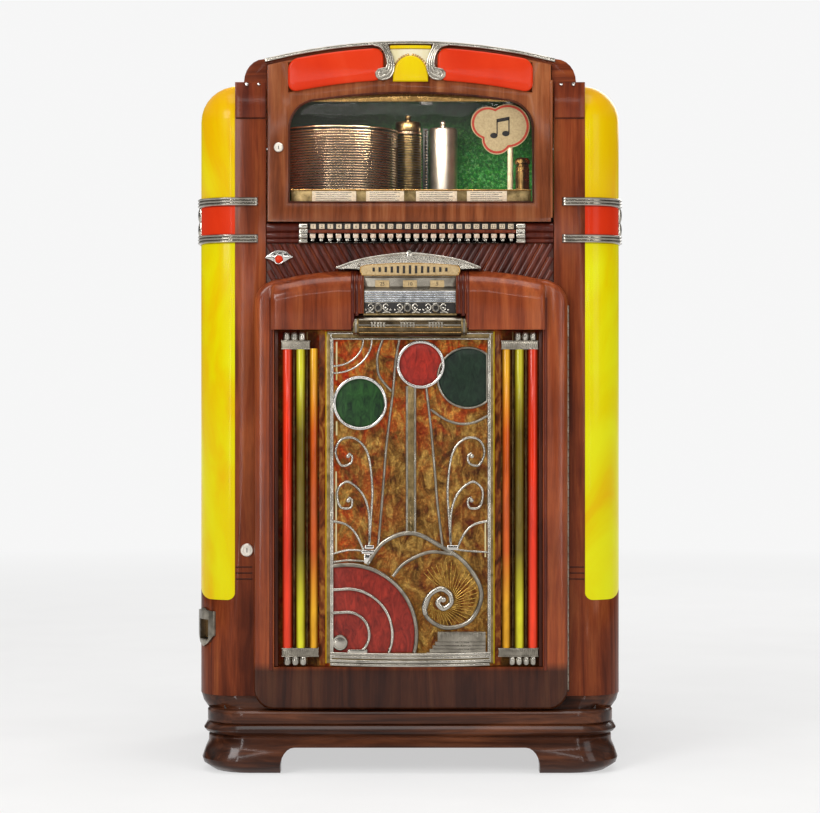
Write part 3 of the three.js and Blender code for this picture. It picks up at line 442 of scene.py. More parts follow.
def smooth_faces(bm, degrees=35):
    limit = math.radians(degrees)
    for face in bm.faces:
        face.smooth = True
    for edge in bm.edges:
        if len(edge.link_faces) == 2:
            edge.smooth = edge.calc_face_angle() < limit


def bevel_edges(bm, width, segments=2, degrees=35):
    limit = math.radians(degrees)
    sharp = [e for e in bm.edges if len(e.link_faces) == 2 and e.calc_face_angle() > limit]
    bmesh.ops.bevel(
        bm, geom=sharp, offset=width * MM, segments=segments, profile=0.6, affect="EDGES", clamp_overlap=True,
    )


def piece(name, bm, material, body, degrees=35):
    """Turns a bmesh into a piece that rides on a body."""
    bmesh.ops.recalc_face_normals(bm, faces=bm.faces)
    smooth_faces(bm, degrees)
    mesh = bpy.data.meshes.new(name)
    bm.to_mesh(mesh)
    bm.free()
    mesh.materials.append(material)
    obj = bpy.data.objects.new(name, mesh)
    bpy.context.scene.collection.objects.link(obj)
    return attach(obj, body)


def refine(node, material, body, bevel=1.2):
    """A copy of a CAD node with softened edges and smooth curves, which stands for the node."""
    bm = bmesh.new()
    bm.from_mesh(NODES[node].data)
    bmesh.ops.remove_doubles(bm, verts=bm.verts, dist=0.02 * MM)
    bmesh.ops.dissolve_limit(bm, angle_limit=math.radians(0.5), verts=bm.verts, edges=bm.edges)
    bevel_edges(bm, bevel)
    obj = piece(node + "_skin", bm, material, body)
    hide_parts(node)
    return obj


def add_block(bm, low, high):
    low, high = Vector(low) * MM, Vector(high) * MM
    size = Matrix.Diagonal((*(high - low), 1))
    bmesh.ops.create_cube(bm, size=1, matrix=Matrix.Translation((low + high) / 2) @ size)


def blocks(name, spans, material, body, bevel=1.0):
    """One piece of boxes, each from a low to a high corner."""
    bm = bmesh.new()
    for low, high in spans:
        add_block(bm, low, high)
    bevel_edges(bm, bevel)
    return piece(name, bm, material, body)


def block(name, low, high, material, body, bevel=1.0):
    return blocks(name, [(low, high)], material, body, bevel)


TURNS = {
    "Z": Matrix.Identity(4),
    "Y": Matrix.Rotation(math.radians(90), 4, "X"),
    "X": Matrix.Rotation(math.radians(90), 4, "Y"),
}


def add_lathe(bm, profile, centre, axis="Z", segments=40, squash=(1, 1)):
    """Turns (radius, height) points round an axis. Axis Y faces the front: heights grow towards -Y."""
    place = Matrix.Translation(Vector(centre) * MM) @ TURNS[axis]
    rings = []
    for radius, height in profile:
        if radius < 1e-6:
            rings.append([bm.verts.new(place @ Vector((0, 0, height * MM)))])
            continue
        ring = []
        for i in range(segments):
            angle = 2 * math.pi * i / segments
            across = radius * squash[0] * math.cos(angle)
            back = radius * squash[1] * math.sin(angle)
            ring.append(bm.verts.new(place @ (Vector((across, back, height)) * MM)))
        rings.append(ring)
    for below, above in zip(rings, rings[1:]):
        for i in range(segments):
            j = (i + 1) % segments
            corners = [below[i % len(below)], below[j % len(below)]]
            corners += [above[j % len(above)], above[i % len(above)]]
            unique = list(dict.fromkeys(corners))
            if len(unique) > 2:
                bm.faces.new(unique)
    for ring in (rings[0], rings[-1]):
        if len(ring) > 1:
            bm.faces.new(ring)


def lathe(name, profile, centre, material, body, axis="Z", segments=40, squash=(1, 1)):
    bm = bmesh.new()
    add_lathe(bm, profile, centre, axis, segments, squash)
    return piece(name, bm, material, body)


def piano_hinge(name, place, radius, pitch, gap, count, material, body):
    """Knuckles one above the other, the lowest at place."""
    bm = bmesh.new()
    x, y, z = place
    for i in range(count):
        low = z + i * pitch
        add_lathe(bm, rounded(radius, low, low + pitch - gap, 0.4), (x, y, 0), segments=16)
    return piece(name, bm, material, body)


def rounded(radius, low, high, edge):
    """The profile of a cylinder with softened ends."""
    return [
        (0, low), (radius - edge, low), (radius - edge * 0.3, low + edge * 0.3), (radius, low + edge),
        (radius, high - edge), (radius - edge * 0.3, high - edge * 0.3), (radius - edge, high), (0, high),
    ]


def arc(cx, cz, rx, rz, start, end, steps=16):
    points = []
    for i in range(steps + 1):
        angle = math.radians(start + (end - start) * i / steps)
        points.append((cx + rx * math.cos(angle), cz + rz * math.sin(angle)))
    return points


def smooth(points, steps=8):
    """A Catmull-Rom curve through the points."""
    padded = [points[0], *points, points[-1]]
    curve = []
    for a, b, c, d in zip(padded, padded[1:], padded[2:], padded[3:]):
        for i in range(steps):
            t = i / steps
            curve.append(tuple(
                0.5 * (2 * q + (r - p) * t + (2 * p - 5 * q + 4 * r - s) * t * t
                       + (3 * q - p - 3 * r + s) * t ** 3)
                for p, q, r, s in zip(a, b, c, d)
            ))
    return [*curve, tuple(points[-1])]


def mirrored(points, about=0.0):
    return [(2 * about - x, z) for x, z in points]


FRONT_VIEW = Matrix.Rotation(math.radians(90), 4, "X")


def curve_mesh(name, curve, matrix):
    holder = bpy.data.objects.new(name, curve)
    bpy.context.scene.collection.objects.link(holder)
    bpy.context.view_layer.update()
    mesh = bpy.data.meshes.new_from_object(holder.evaluated_get(bpy.context.evaluated_depsgraph_get()))
    bpy.data.objects.remove(holder)
    bpy.data.curves.remove(curve)
    mesh.transform(matrix)
    return mesh


def mesh_piece(name, mesh, material, body, degrees=40):
    bm = bmesh.new()
    bm.from_mesh(mesh)
    bpy.data.meshes.remove(mesh)
    bmesh.ops.remove_doubles(bm, verts=bm.verts, dist=0.01 * MM)
    return piece(name, bm, material, body, degrees)


def signed_area(loop):
    return sum(a[0] * b[1] - b[0] * a[1] for a, b in zip(loop, loop[1:] + loop[:1])) / 2


def add_line(curve, points, closed):
    spline = curve.splines.new("POLY")
    spline.points.add(len(points) - 1)
    for point, place in zip(spline.points, points):
        point.co = (*(Vector(place) * MM), 1)
    spline.use_cyclic_u = closed


def plate(name, loops, y0, y1, material, body, bevel=1.0, degrees=40):
    """Outlines seen from the front, from y0 (nearer the player) to y1: first the edge, then any holes."""
    curve = bpy.data.curves.new(name, "CURVE")
    curve.dimensions = "2D"
    curve.fill_mode = "BOTH"
    for index, loop in enumerate(loops):
        wanted = 1 if index == 0 else -1
        if signed_area(loop) * wanted < 0:
            loop = loop[::-1]
        add_line(curve, [(x, z, 0) for x, z in loop], True)
    curve.extrude = max((y1 - y0) / 2 - bevel, 0.01) * MM
    curve.bevel_depth = bevel * MM
    curve.bevel_resolution = 2
    curve.offset = -bevel * MM
    matrix = Matrix.Translation((0, (y0 + y1) / 2 * MM, 0)) @ FRONT_VIEW
    return mesh_piece(name, curve_mesh(name, curve, matrix), material, body, degrees)


def wires(name, paths, radius, material, body, matrix=Matrix.Identity(4)):
    """Round bars along paths of (x, y, z) points. A path that ends where it starts is closed."""
    curve = bpy.data.curves.new(name, "CURVE")
    curve.dimensions = "3D"
    curve.bevel_depth = radius * MM
    curve.bevel_resolution = 3
    curve.use_fill_caps = True
    for path in paths:
        closed = path[0] == path[-1]
        add_line(curve, path[:-1] if closed else path, closed)
    return mesh_piece(name, curve_mesh(name, curve, matrix), material, body, 60)


def rods(name, paths, radius, y, material, body, flatten=1.0):
    """Round bars along paths of (x, z) points seen from the front, centred at depth y."""
    matrix = Matrix.Translation((0, y * MM, 0)) @ FRONT_VIEW @ Matrix.Diagonal((1, 1, flatten, 1))
    flat = [[(x, z, 0) for x, z in path] for path in paths]
    return wires(name, flat, radius, material, body, matrix)


def ring_path(x, z, r, steps=40):
    points = arc(x, z, r, r, 0, 360, steps)
    points[-1] = points[0]
    return points


def sweep(name, path, section, material, body):
    """Carries a closed section, in (outwards, up), along a plan path of ((x, y), (normal), scale)."""
    bm = bmesh.new()
    rings = []
    for (x, y), (nx, ny), scale in path:
        rings.append([
            bm.verts.new(Vector((x + nx * out * scale, y + ny * out * scale, up)) * MM) for out, up in section
        ])
    count = len(section)
    for before, after in zip(rings, rings[1:]):
        for i in range(count):
            j = (i + 1) % count
            bm.faces.new((before[i], before[j], after[j], after[i]))
    bm.faces.new(rings[0])
    bm.faces.new(rings[-1])
    return piece(name, bm, material, body, 30)


def corner_arc(side, radius, steps=20):
    """Plan points round a front corner from the pilaster to the side wall, with their outward normals."""
    points = []
    for i in range(steps + 1):
        angle = math.radians(90 * i / steps)
        normal = (side * math.sin(angle), -math.cos(angle))
        points.append(((side * CORNER_X + normal[0] * radius, CORNER_Y + normal[1] * radius), normal, 1))
    return points


# ---- camera, light and stage -----------------------------------------------------------------


def make_camera():
    """A level view that frames the cabinet from the front."""
    picture_width = 1.64
    distance = 4.6
    data = bpy.data.cameras.new("camera")
    data.sensor_fit = "HORIZONTAL"
    data.sensor_width = 36
    data.lens = 36 * distance / picture_width
    data.shift_y = -0.031
    camera = bpy.data.objects.new("camera", data)
    camera.location = (0, FRONT * MM - distance, 0.78)
    camera.rotation_euler = (math.radians(90), 0, 0)
    bpy.context.scene.collection.objects.link(camera)
    bpy.context.scene.camera = camera


def area_light(name, place, target, width, height, power, colour=(1, 1, 1)):
    data = bpy.data.lights.new(name, "AREA")
    data.shape = "RECTANGLE"
    data.size = width
    data.size_y = height
    data.energy = power
    data.color = colour
    light = bpy.data.objects.new(name, data)
    light.location = place
    light.rotation_euler = (Vector(target) - Vector(place)).to_track_quat("-Z", "Y").to_euler()
    light.visible_camera = False
    bpy.context.scene.collection.objects.link(light)


BACKDROP = (0.925, 0.925, 0.925, 1)
FLOOR_GLOW = 0.57


def make_world(scene):
    """A plain pale backdrop, and for the object a soft sky over a dark horizon, so metal has contrast."""
    world = bpy.data.worlds.new("studio")
    world.use_nodes = True
    tree = world.node_tree
    direction = tree.nodes.new("ShaderNodeTexCoord").outputs["Generated"]
    split = tree.nodes.new("ShaderNodeSeparateXYZ")
    tree.links.new(direction, split.inputs["Vector"])
    shades = tree.nodes.new("ShaderNodeValToRGB")
    stops = ((0.0, 0.32), (0.06, 0.045), (0.22, 0.09), (0.4, 0.63), (0.62, 0.27), (1.0, 0.81))
    while len(shades.color_ramp.elements) < len(stops):
        shades.color_ramp.elements.new(0.5)
    for element, (place, level) in zip(shades.color_ramp.elements, stops):
        element.position = place
        element.color = (level, level * 0.98, level * 0.95, 1)
    tree.links.new(split.outputs["Z"], shades.inputs["Fac"])
    backdrop = tree.nodes.new("ShaderNodeMix")
    backdrop.data_type = "RGBA"
    backdrop.inputs[7].default_value = BACKDROP
    tree.links.new(tree.nodes.new("ShaderNodeLightPath").outputs["Is Camera Ray"], backdrop.inputs[0])
    tree.links.new(shades.outputs["Color"], backdrop.inputs[6])
    tree.links.new(backdrop.outputs[2], tree.nodes["Background"].inputs["Color"])
    scene.world = world


def make_floor(scene):
    """A flat pale floor that fades into the backdrop on every side."""
    pale = Shader("pale_floor", roughness=0.95, specular=0.0)
    grain = pale.noise(3, 2)
    away = pale.distance(2000, 6000)
    near = pale.ramp(grain, [(0.3, 0.28), (0.7, 0.3)])
    pale.colour(pale.mix(away, near, 0))
    pale.glow(pale.mix(away, FLOOR_GLOW, BACKDROP), 1.0)
    reach = 40
    mesh = bpy.data.meshes.new("floor")
    mesh.from_pydata([(-reach, -reach, 0), (reach, -reach, 0), (reach, reach, 0), (-reach, reach, 0)], [],
                     [(0, 1, 2, 3)])
    mesh.materials.append(pale.material)
    floor = bpy.data.objects.new("floor", mesh)
    scene.collection.objects.link(floor)


def make_stage():
    """The backdrop, the floor and the lamps around and inside the object."""
    scene = bpy.context.scene
    scene.view_settings.view_transform = "Standard"
    make_world(scene)
    make_floor(scene)
    area_light("key", (-2.4, -3.6, 3.0), (0, 0, 0.8), 1.6, 1.6, 110)
    area_light("fill", (3.0, -3.4, 1.8), (0, 0, 0.8), 1.4, 2.2, 30)
    area_light("top", (0, -0.8, 4.2), (0, 0.2, 0.5), 3.0, 2.0, 70)
    area_light("rear", (1.8, 3.8, 2.8), (0, 0, 0.8), 2.2, 2.2, 60)
    area_light("ledge", (0, -3.6, 1.75), (0, FRONT * MM, 0.9), 2.4, 0.1, 9)
    for side, power in ((-1, 14), (1, 7)):
        area_light("strip", (side * 1.35, -3.6, 1.0), (side * 0.36, FRONT * MM, 0.9), 0.12, 2.0, power)
    area_light("record_lamp", (-0.09, -0.225, 1.392), (-0.09, 0.1, 1.18), 0.5, 0.03, 4.2, (1, 0.92, 0.8))


# ---- cabinet ---------------------------------------------------------------------------------

CABINET = "cabinet"


def make_cabinet():
    """The wood shell and the pieces that keep their CAD shape."""
    for side in ("left", "right"):
        refine(f"side_panel_{side}", WALNUT, CABINET, 1.0)
        refine(f"corner_lens_{side}_upper", YELLOW_TOP, CABINET, 1.2)
        refine(f"corner_lens_{side}_lower", YELLOW, CABINET, 1.2)
    refine("roof_panel", WALNUT_ROOF, CABINET, 1.2)
    refine("base_plinth", WALNUT_ACROSS, CABINET, 1.5)
    refine("loudspeaker", IRON, CABINET, 1.0)
    refine("amplifier", IRON, CABINET, 1.5)


def make_bands():
    """The ribbed bands round the corners, with their red lenses and side ornaments."""
    low_z, high_z = BAND_LOW.z, BAND_HIGH.z
    tall = 18
    proud = 6.4
    inner_x = abs(BAND_HIGH.x)
    for name, side in (("left", -1), ("right", 1)):
        run = [((side * inner_x, FRONT), (0, -1), 0.3), ((side * (inner_x + 3), FRONT), (0, -1), 0.8)]
        run += [((side * (inner_x + 7), FRONT), (0, -1), 1)]
        run += corner_arc(side, CORNER_R)
        run += [((side * HALF_WIDTH, BAND_HIGH.y - 6), (side, 0), 1)]
        run += [((side * HALF_WIDTH, BAND_HIGH.y), (side, 0), 0.3)]
        bands = []
        for level, bottom in (("lower", low_z), ("upper", high_z - tall)):
            section = [(0.4, bottom)]
            ridges = 3
            for i in range(ridges):
                start = bottom + tall * i / ridges
                reach = tall / ridges
                section += [
                    (proud * 0.62, start + 0.4), (proud * 0.92, start + reach * 0.25),
                    (proud, start + reach * 0.5),
                    (proud * 0.92, start + reach * 0.75), (proud * 0.62, start + reach - 0.4),
                ]
            section.append((0.4, bottom + tall))
            bands.append(sweep(f"band_{name}_{level}", run, section, NICKEL, CABINET))
        red_low, red_high = low_z + tall + 0.5, high_z - tall - 0.5
        red = [(1, red_low), (1, red_high), (-3, red_high), (-3, red_low)]
        sweep(f"red_lens_{name}", corner_arc(side, CORNER_R - 1.5), red, RED_LIT, CABINET)
        bm = bmesh.new()
        for i in range(3):
            y = CORNER_Y + 14 + i * 11
            x = side * (HALF_WIDTH + 0.6)
            for z0, z1 in ((low_z + tall - 2, 1102), (1102, high_z - tall + 2)):
                add_lathe(bm, [
                    (0, z0), (3.4, z0), (5.0, z0 + 7), (5.4, (z0 + z1) / 2),
                    (5.0, z1 - 7), (3.4, z1), (0, z1),
                ], (x, y, 0), segments=16, squash=(1.3, 1))
        ornament = piece(f"side_ornament_{name}", bm, NICKEL, CABINET)
        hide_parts(f"band_trim_{name}")
        for band in bands:
            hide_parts(f"band_trim_{name}")


def make_crown_trim():
    """The bright strip along the front edge of the arch."""
    reach = 290
    xs = [reach - 2 * reach * i / 40 for i in range(41)]
    top = [(x, crown_z(x, 0.6)) for x in xs]
    under = [(x, crown_z(x, 8)) for x in reversed(xs)]
    plate("crown_trim", [top + under], FRONT - 12, FRONT - 0.4, NICKEL, CABINET, 2.0)


PILASTER_INNER = 288
JOINT_Z = 1304
SHOULDER_Z = JOINT_Z + CORNER_R


def make_pilaster_details():
    """Heads, joint lines, beads and scored lines on the two uprights."""
    for name, side in (("left", -1), ("right", 1)):
        edges = sorted((side * (PILASTER_INNER + 0.4), side * (CORNER_X - 0.4)))
        block(f"pilaster_head_{name}", (edges[0], FRONT - 2.4, JOINT_Z + 3),
              (edges[1], FRONT - 0.2, SHOULDER_Z - 1), WALNUT_RED, CABINET, 3)
        rods(f"pilaster_joint_{name}", [[(edges[0] + 2, JOINT_Z + 1.6), (edges[1] - 1, JOINT_Z + 1.6)]], 1.2,
             FRONT - 0.4, WALNUT_DARK, CABINET)
        bm = bmesh.new()
        for x, r in ((side * 326, 5.2), (side * 302, 4.2)):
            profile = [(0, -2), (r, -2), (r * 0.92, 2), (r * 0.55, 4.4), (0, 5.2)]
            add_lathe(bm, profile, (x, FRONT - 2.6, SHOULDER_Z - 5), "Y", 20)
        piece(f"pilaster_beads_{name}", bm, CHROME, CABINET)
        rods(f"pilaster_lines_{name}", [[(side * 316, z), (side * 349, z)] for z in (384, 396, 408)],
             1.3, FRONT, WALNUT_DARK, CABINET)


def lock(name, x, y, z, radius, body):
    profile = [
        (0, 0), (radius, 0), (radius, 2.5), (radius - 1.5, 4), (radius * 0.6, 4), (radius * 0.55, 2.6),
        (radius * 0.3, 2.6), (0, 2.6),
    ]
    lathe(name, profile, (x, y, z), BRUSHED, body, "Y", 32)
    # the keyway is a black block: painted shade of the slot
    block(name + "_keyway", (x - 0.8, y - 3.2, z - radius * 0.35), (x + 0.8, y - 2.2, z + radius * 0.35),
          INK_AND_SHADE, body, 0.2)


def make_header():
    """A dark panel with slanted reeds that lean towards the middle."""
    low, high = HEADER_LOW, HEADER_HIGH
    block_low, block_high = (low.x, low.y + 3.5, low.z), (high.x, high.y, high.z)
    board = block("header_board", block_low, block_high, WALNUT_DARK, CABINET, 0.6)
    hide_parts("header_panel")
    bottom, top = 978, high.z - 2
    slope = 1.8
    pitch = 14.5
    run = (top - bottom) / slope
    paths = []
    for i in range(int((high.x + run) / pitch)):
        x_top = -i * pitch - pitch / 2
        xa, za, xb, zb = x_top, top, x_top + run, bottom
        if xb > -2:
            zb += (xb + 2) * slope
            xb = -2
        if xa < low.x + 5:
            za -= (low.x + 5 - xa) * slope
            xa = low.x + 5
        if za - zb > 6:
            paths.append([(xa, za), (xb, zb)])
    both = paths + [mirrored(path) for path in paths]
    rods("header_reeds", both, 6.0, FRONT + 5.2, WALNUT_PLUM, CABINET, 0.8)
    edges = [[(xa + 6.4, za), (xb + 6.4, zb)] for (xa, za), (xb, zb) in paths[::2]]
    edges += [mirrored(edge) for edge in edges]
    rods("header_stringing", edges, 1.3, FRONT + 2.6, WALNUT_RED, CABINET)


def make_escutcheon():
    """A chrome eyelid with three piercings over a red jewel in a ring."""
    x, z = -261, 1027
    upper = [(-24, 4), (-12, 12), (0, 14), (12, 12), (24, 4)]
    lower = [(20, -3), (12, -8), (0, -14), (-12, -8), (-20, -4)]
    lid = [(-30, -1), *smooth(upper, 5), (28, 1), *smooth(lower, 5)]
    lid = [(x + dx, z + dz) for dx, dz in lid]
    plate("jewel_escutcheon", [lid], FRONT - 5, FRONT - 0.5, CHROME, CABINET, 1.4)
    # the piercings are black blocks: painted shade of the holes
    blocks("escutcheon_piercings", [
        ((x + dx - 4, FRONT - 5.4, z + dz - 1.5), (x + dx + 4, FRONT - 4, z + dz + 1.5))
        for dx, dz in ((-12, 6.4), (1, 8.6), (13, 6.0))
    ], INK_AND_SHADE, CABINET, 0.6)
    rods("jewel_rim", [ring_path(x - 1, z - 3.5, 9, 28)], 1.8, FRONT - 5, CHROME, CABINET)
    stone = [(0, 0), (7.6, 0), (7.2, 2.4), (5, 4.6), (0, 5.6)]
    lathe("jewel", stone, (x - 1, FRONT - 4, z - 3.5), RED_LIT, CABINET, "Y", 28)


# ---- keyboard --------------------------------------------------------------------------------


def make_keyboard():
    """The board with its rolls, clamps, ledge, number tabs, pivot rod and 24 keys."""
    low, high = box_mm("keyboard_rail")
    keys = [box_mm(f"selector_key_{i + 1:02d}") for i in range(24)]
    left, right = keys[0][0].x - 3, keys[-1][1].x + 3
    board = blocks("keyboard_board", [
        ((x0, FRONT + 5, z0), (x1, FRONT + 17, high.z - 0.5)) for x0, x1, z0 in (
            (low.x, left - 10, low.z + 0.3), (right + 10, high.x, low.z + 0.3), (left - 10, right + 10, 1078),
        )
    ], WALNUT_DARK, CABINET, 0.8)
    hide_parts("keyboard_rail")
    bm = bmesh.new()
    for x0, x1 in ((low.x + 1, left - 18), (right + 18, high.x - 1)):
        for z, r in ((1087, 9.5), (1072, 6.6), (1061, 4.6)):
            add_lathe(bm, rounded(r, x0, x1, 1.2), (0, FRONT + 3, z), "X", 28)
    piece("keyboard_rolls", bm, WALNUT_PLUM, CABINET)
    bm = bmesh.new()
    for x0 in (left - 18, right + 1):
        add_block(bm, (x0, FRONT - 9, 1055), (x0 + 17, FRONT + 6, 1095))
        for z, r in ((1059, 4.6), (1069, 5.2), (1089, 6.2)):
            add_lathe(bm, rounded(r, x0 - 0.6, x0 + 17.6, 1.4), (0, FRONT - 9, z), "X", 20)
    bevel_edges(bm, 1.0)
    piece("keyboard_clamps", bm, NICKEL, CABINET)
    block("tab_ledge", (left, FRONT - 7, 1075.5), (right, FRONT + 5.5, 1082.5), WALNUT_RED, CABINET, 1.8)
    block("tab_back", (left, FRONT - 1, 1082.5), (right, FRONT + 5.5, 1097), INK_AND_SHADE, CABINET, 0.6)
    middles = [(key_low.x + key_high.x) / 2 for key_low, key_high in keys]
    blocks("number_tabs", [
        ((x - 5.5, FRONT - 3.5, 1084.2), (x + 5.5, FRONT - 0.6, 1094.2)) for x in middles
    ], CARD, CABINET, 0.7)
    make_numbers(middles)
    brackets = bmesh.new()
    for x in (left - 8, right + 8):
        add_block(brackets, (x - 3, FRONT + 17, 1057), (x + 3, -174, 1067))
    add_lathe(brackets, rounded(3, left - 10, right + 10, 0.6), (0, -180, 1062), "X", 20)
    bevel_edges(brackets, 0.5)
    piece("key_pivot_rod", brackets, STEEL, CABINET)
    for i, x in enumerate(middles):
        make_key(f"{i + 1:02d}", x, keys[i][0].y)


def make_key(number, x, front):
    """An ivory tip on a nickel lever with a small hook under it."""
    tip = block(f"key_tip_{number}", (x - 5.6, front + 0.3, 1064), (x + 5.6, front + 9, 1072.6),
                KEY_IVORY, f"key_{number}", 2.0)
    lever = blocks(f"key_lever_{number}", [
        ((x - 5, front + 8, 1066.5), (x + 5, -176.5, 1073.5)),
        ((x - 3, front + 2, 1058.3), (x + 3, front + 6, 1063.4)),
    ], NICKEL, f"key_{number}", 0.7)
    for part in (tip, lever):
        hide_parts(f"selector_key_{number}")


def add_digits(bm, digits, x, y, z, size):
    font = bpy.data.curves.new("digits", "FONT")
    font.body = digits
    font.size = size * MM
    font.extrude = 0.15 * MM
    font.align_x = "CENTER"
    mesh = curve_mesh("digits", font, Matrix.Translation(Vector((x, y, z)) * MM) @ FRONT_VIEW)
    bm.from_mesh(mesh)
    bpy.data.meshes.remove(mesh)


def make_numbers(middles):
    """The numbers 1 to 24 on the tabs above the keys."""
    bm = bmesh.new()
    for i, x in enumerate(middles):
        add_digits(bm, str(i + 1), x, FRONT - 3.6, 1086.2, 8.5)
    piece("tab_numbers", bm, INK_AND_SHADE, CABINET)


# ---- display door ----------------------------------------------------------------------------

DISPLAY_DOOR = "display_door"


def arch_band(x0, x1, outer, inner, corner, steps=5):
    """A panel between two arches under the crown's top, with rounded corners."""
    turns = [
        (x1 - corner, outer + corner, 0), (x0 + corner, outer + corner, 90),
        (x0 + corner, inner - corner, 180), (x1 - corner, inner - corner, 270),
    ]
    loop = []
    for cx, cv, start in turns:
        for i in range(steps + 1):
            angle = math.radians(start + 90 * i / steps)
            x = cx + corner * math.cos(angle)
            inset = cv - corner * math.sin(angle)
            loop.append((x, inset))
        if start == 0:
            loop += [(x1 - (x1 - x0) * k / 8, outer) for k in range(1, 8)]
        if start == 180:
            loop += [(x0 + (x1 - x0) * k / 8, inner) for k in range(1, 8)]
    return [(x, crown_z(x, inset)) for x, inset in loop]


def make_display_door():
    """The upper door: its frame, crown lenses, window details and hinge."""
    front, back = DISPLAY_LOW.y + 1, DISPLAY_HIGH.y
    refine("display_door_frame", WALNUT_FRAME, DISPLAY_DOOR, 1.6)
    NODES["display_glass"].material_slots[0].material = GLASS
    dome = [(36, 1377), *arc(1, 1386, 35, 43, 0, 180, 24), (-34, 1377)]
    for name, outline, proud, depth, material, bevel in (
        ("red_left", arch_band(-243, -53, 14.5, 79, 19), 5, 3, RED_LIT, 5),
        ("red_right", arch_band(55, 245, 14.5, 79, 19), 5, 3, RED_LIT, 5),
        ("cream", arch_band(-44, 46, 18, 46, 3), 2, 4, CREAM_LIT, 2),
        ("band", arch_band(-40, 42, 11, 17, 2), 4, 2, AMBER_LIT, 1),
        ("amber", dome, 7, 4, AMBER_LIT, 5),
    ):
        lens = plate(f"crown_lens_{name}", [outline], front - proud, front + depth, material,
                     DISPLAY_DOOR, bevel)
        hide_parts("crown_lens")
    teeth = bmesh.new()
    for i in range(17):
        if i == 8:
            continue
        angle = math.radians(30 + 120 * i / 16)
        spot = (1 + 36.5 * math.cos(angle), front - 3, 1386 + 44.5 * math.sin(angle))
        add_lathe(teeth, [(0, -3), (2.6, -3), (2.4, 1), (0, 2.4)], spot, "Y", 10)
    piece("crown_teeth", teeth, BRASS, DISPLAY_DOOR)
    make_crown_scrolls(front)
    make_window_details(front, back)
    lock("display_door_lock", -262, DISPLAY_LOW.y + 2, 1246, 9.5, DISPLAY_DOOR)
    piano_hinge("display_door_piano_hinge", (282, -282.6, 1108), 2.2, 14, 0.6, 19, BRASS_OLD, DISPLAY_DOOR)


def make_crown_scrolls(front):
    """A cast leaf on each side of the dome: wide at the arch, waisted, and curled outwards at its foot."""
    outer = [(76, 1449), (63, 1446), (55, 1438), (50, 1426), (48, 1414), (50, 1405), (58, 1403), (66, 1401)]
    inner = [(46, 1451), (43, 1441), (38, 1430), (34, 1417), (33, 1404), (36, 1392), (44, 1382), (57, 1379)]
    curl = [(66, 1401), (71, 1395), (70, 1386), (63, 1380), (57, 1379)]
    for name, turn in (("right", 1), ("left", -1)):
        about = 1

        def placed(points):
            return points if turn == 1 else mirrored(points, about)

        body_line = smooth(outer, 4) + smooth(curl, 4)[1:] + smooth(inner[::-1], 4)[1:]
        plate(f"crown_scroll_{name}", [placed(body_line)], front - 8, front + 1, NICKEL_DULL,
              DISPLAY_DOOR, 1.6)
        veins = []
        for t in (0.06, 0.36, 0.66, 0.95):
            line = [(a[0] * t + b[0] * (1 - t), a[1] * t + b[1] * (1 - t)) for a, b in zip(outer, inner)]
            veins.append(placed(smooth(line, 4)))
        eye = smooth([(50, 1398), (58, 1399), (64, 1394), (63, 1387), (57, 1385), (53, 1390), (57, 1393)], 5)
        rods(f"crown_scroll_veins_{name}", [*veins, placed(eye)], 1.7, front - 8, NICKEL, DISPLAY_DOOR)


def window_loop(grow):
    """The window's outline: square foot, round upper corners and a shallow arched head."""
    left, right, bottom = -242 - grow, 246 + grow, 1136 - grow
    radius, spring, rise = 58, 1284 + grow, 14
    head_left = arc(left + radius, spring, radius, radius, 180, 90, 10)
    head_right = arc(right - radius, spring, radius, radius, 90, 0, 10)
    middle = []
    x0, x1 = head_left[-1][0], head_right[0][0]
    for i in range(1, 12):
        t = i / 12
        middle.append((x0 + (x1 - x0) * t, spring + radius + rise * 4 * t * (1 - t)))
    return [(left, bottom), *head_left, *middle, *head_right, (right, bottom)]


def make_window_details(front, back):
    """The beads, strips, programme cards and label in the display window."""
    loop = window_loop(-1)
    rods("window_bead", [loop + loop[:1]], 2.2, front - 0.5, WALNUT_DARK, DISPLAY_DOOR)
    block("window_head_strip", (-232, back - 6, 1340), (236, back - 2, 1357), BRASS, DISPLAY_DOOR, 0.8)
    strip_y = back - 5
    block("programme_strip", (-238, strip_y, 1137), (242, back - 1, 1163), BRASS_OLD, DISPLAY_DOOR, 1.0)
    cards = ((-196, -108), (-88, -12), (12, 94), (114, 194))
    blocks("programme_cards", [
        ((x0, strip_y - 1.6, 1139.5), (x1, strip_y - 0.2, 1160.5)) for x0, x1 in cards
    ], CARD, DISPLAY_DOOR, 0.3)
    lines = bmesh.new()
    for x0, x1 in cards:
        for row in range(5):
            z = 1141.6 + row * 3.8
            add_block(lines, (x0 + 7, strip_y - 1.9, z), (x1 - 9 - 7 * (row % 2), strip_y - 1.5, z + 1.4))
    piece("programme_rules", lines, STEEL, DISPLAY_DOOR)
    rods("programme_rail", [[(-238, 1162.5), (242, 1162.5)], [(-238, 1138), (242, 1138)]], 1.5, strip_y - 1.2,
         BRASS, DISPLAY_DOOR)
    make_sticker(back - 2.4)


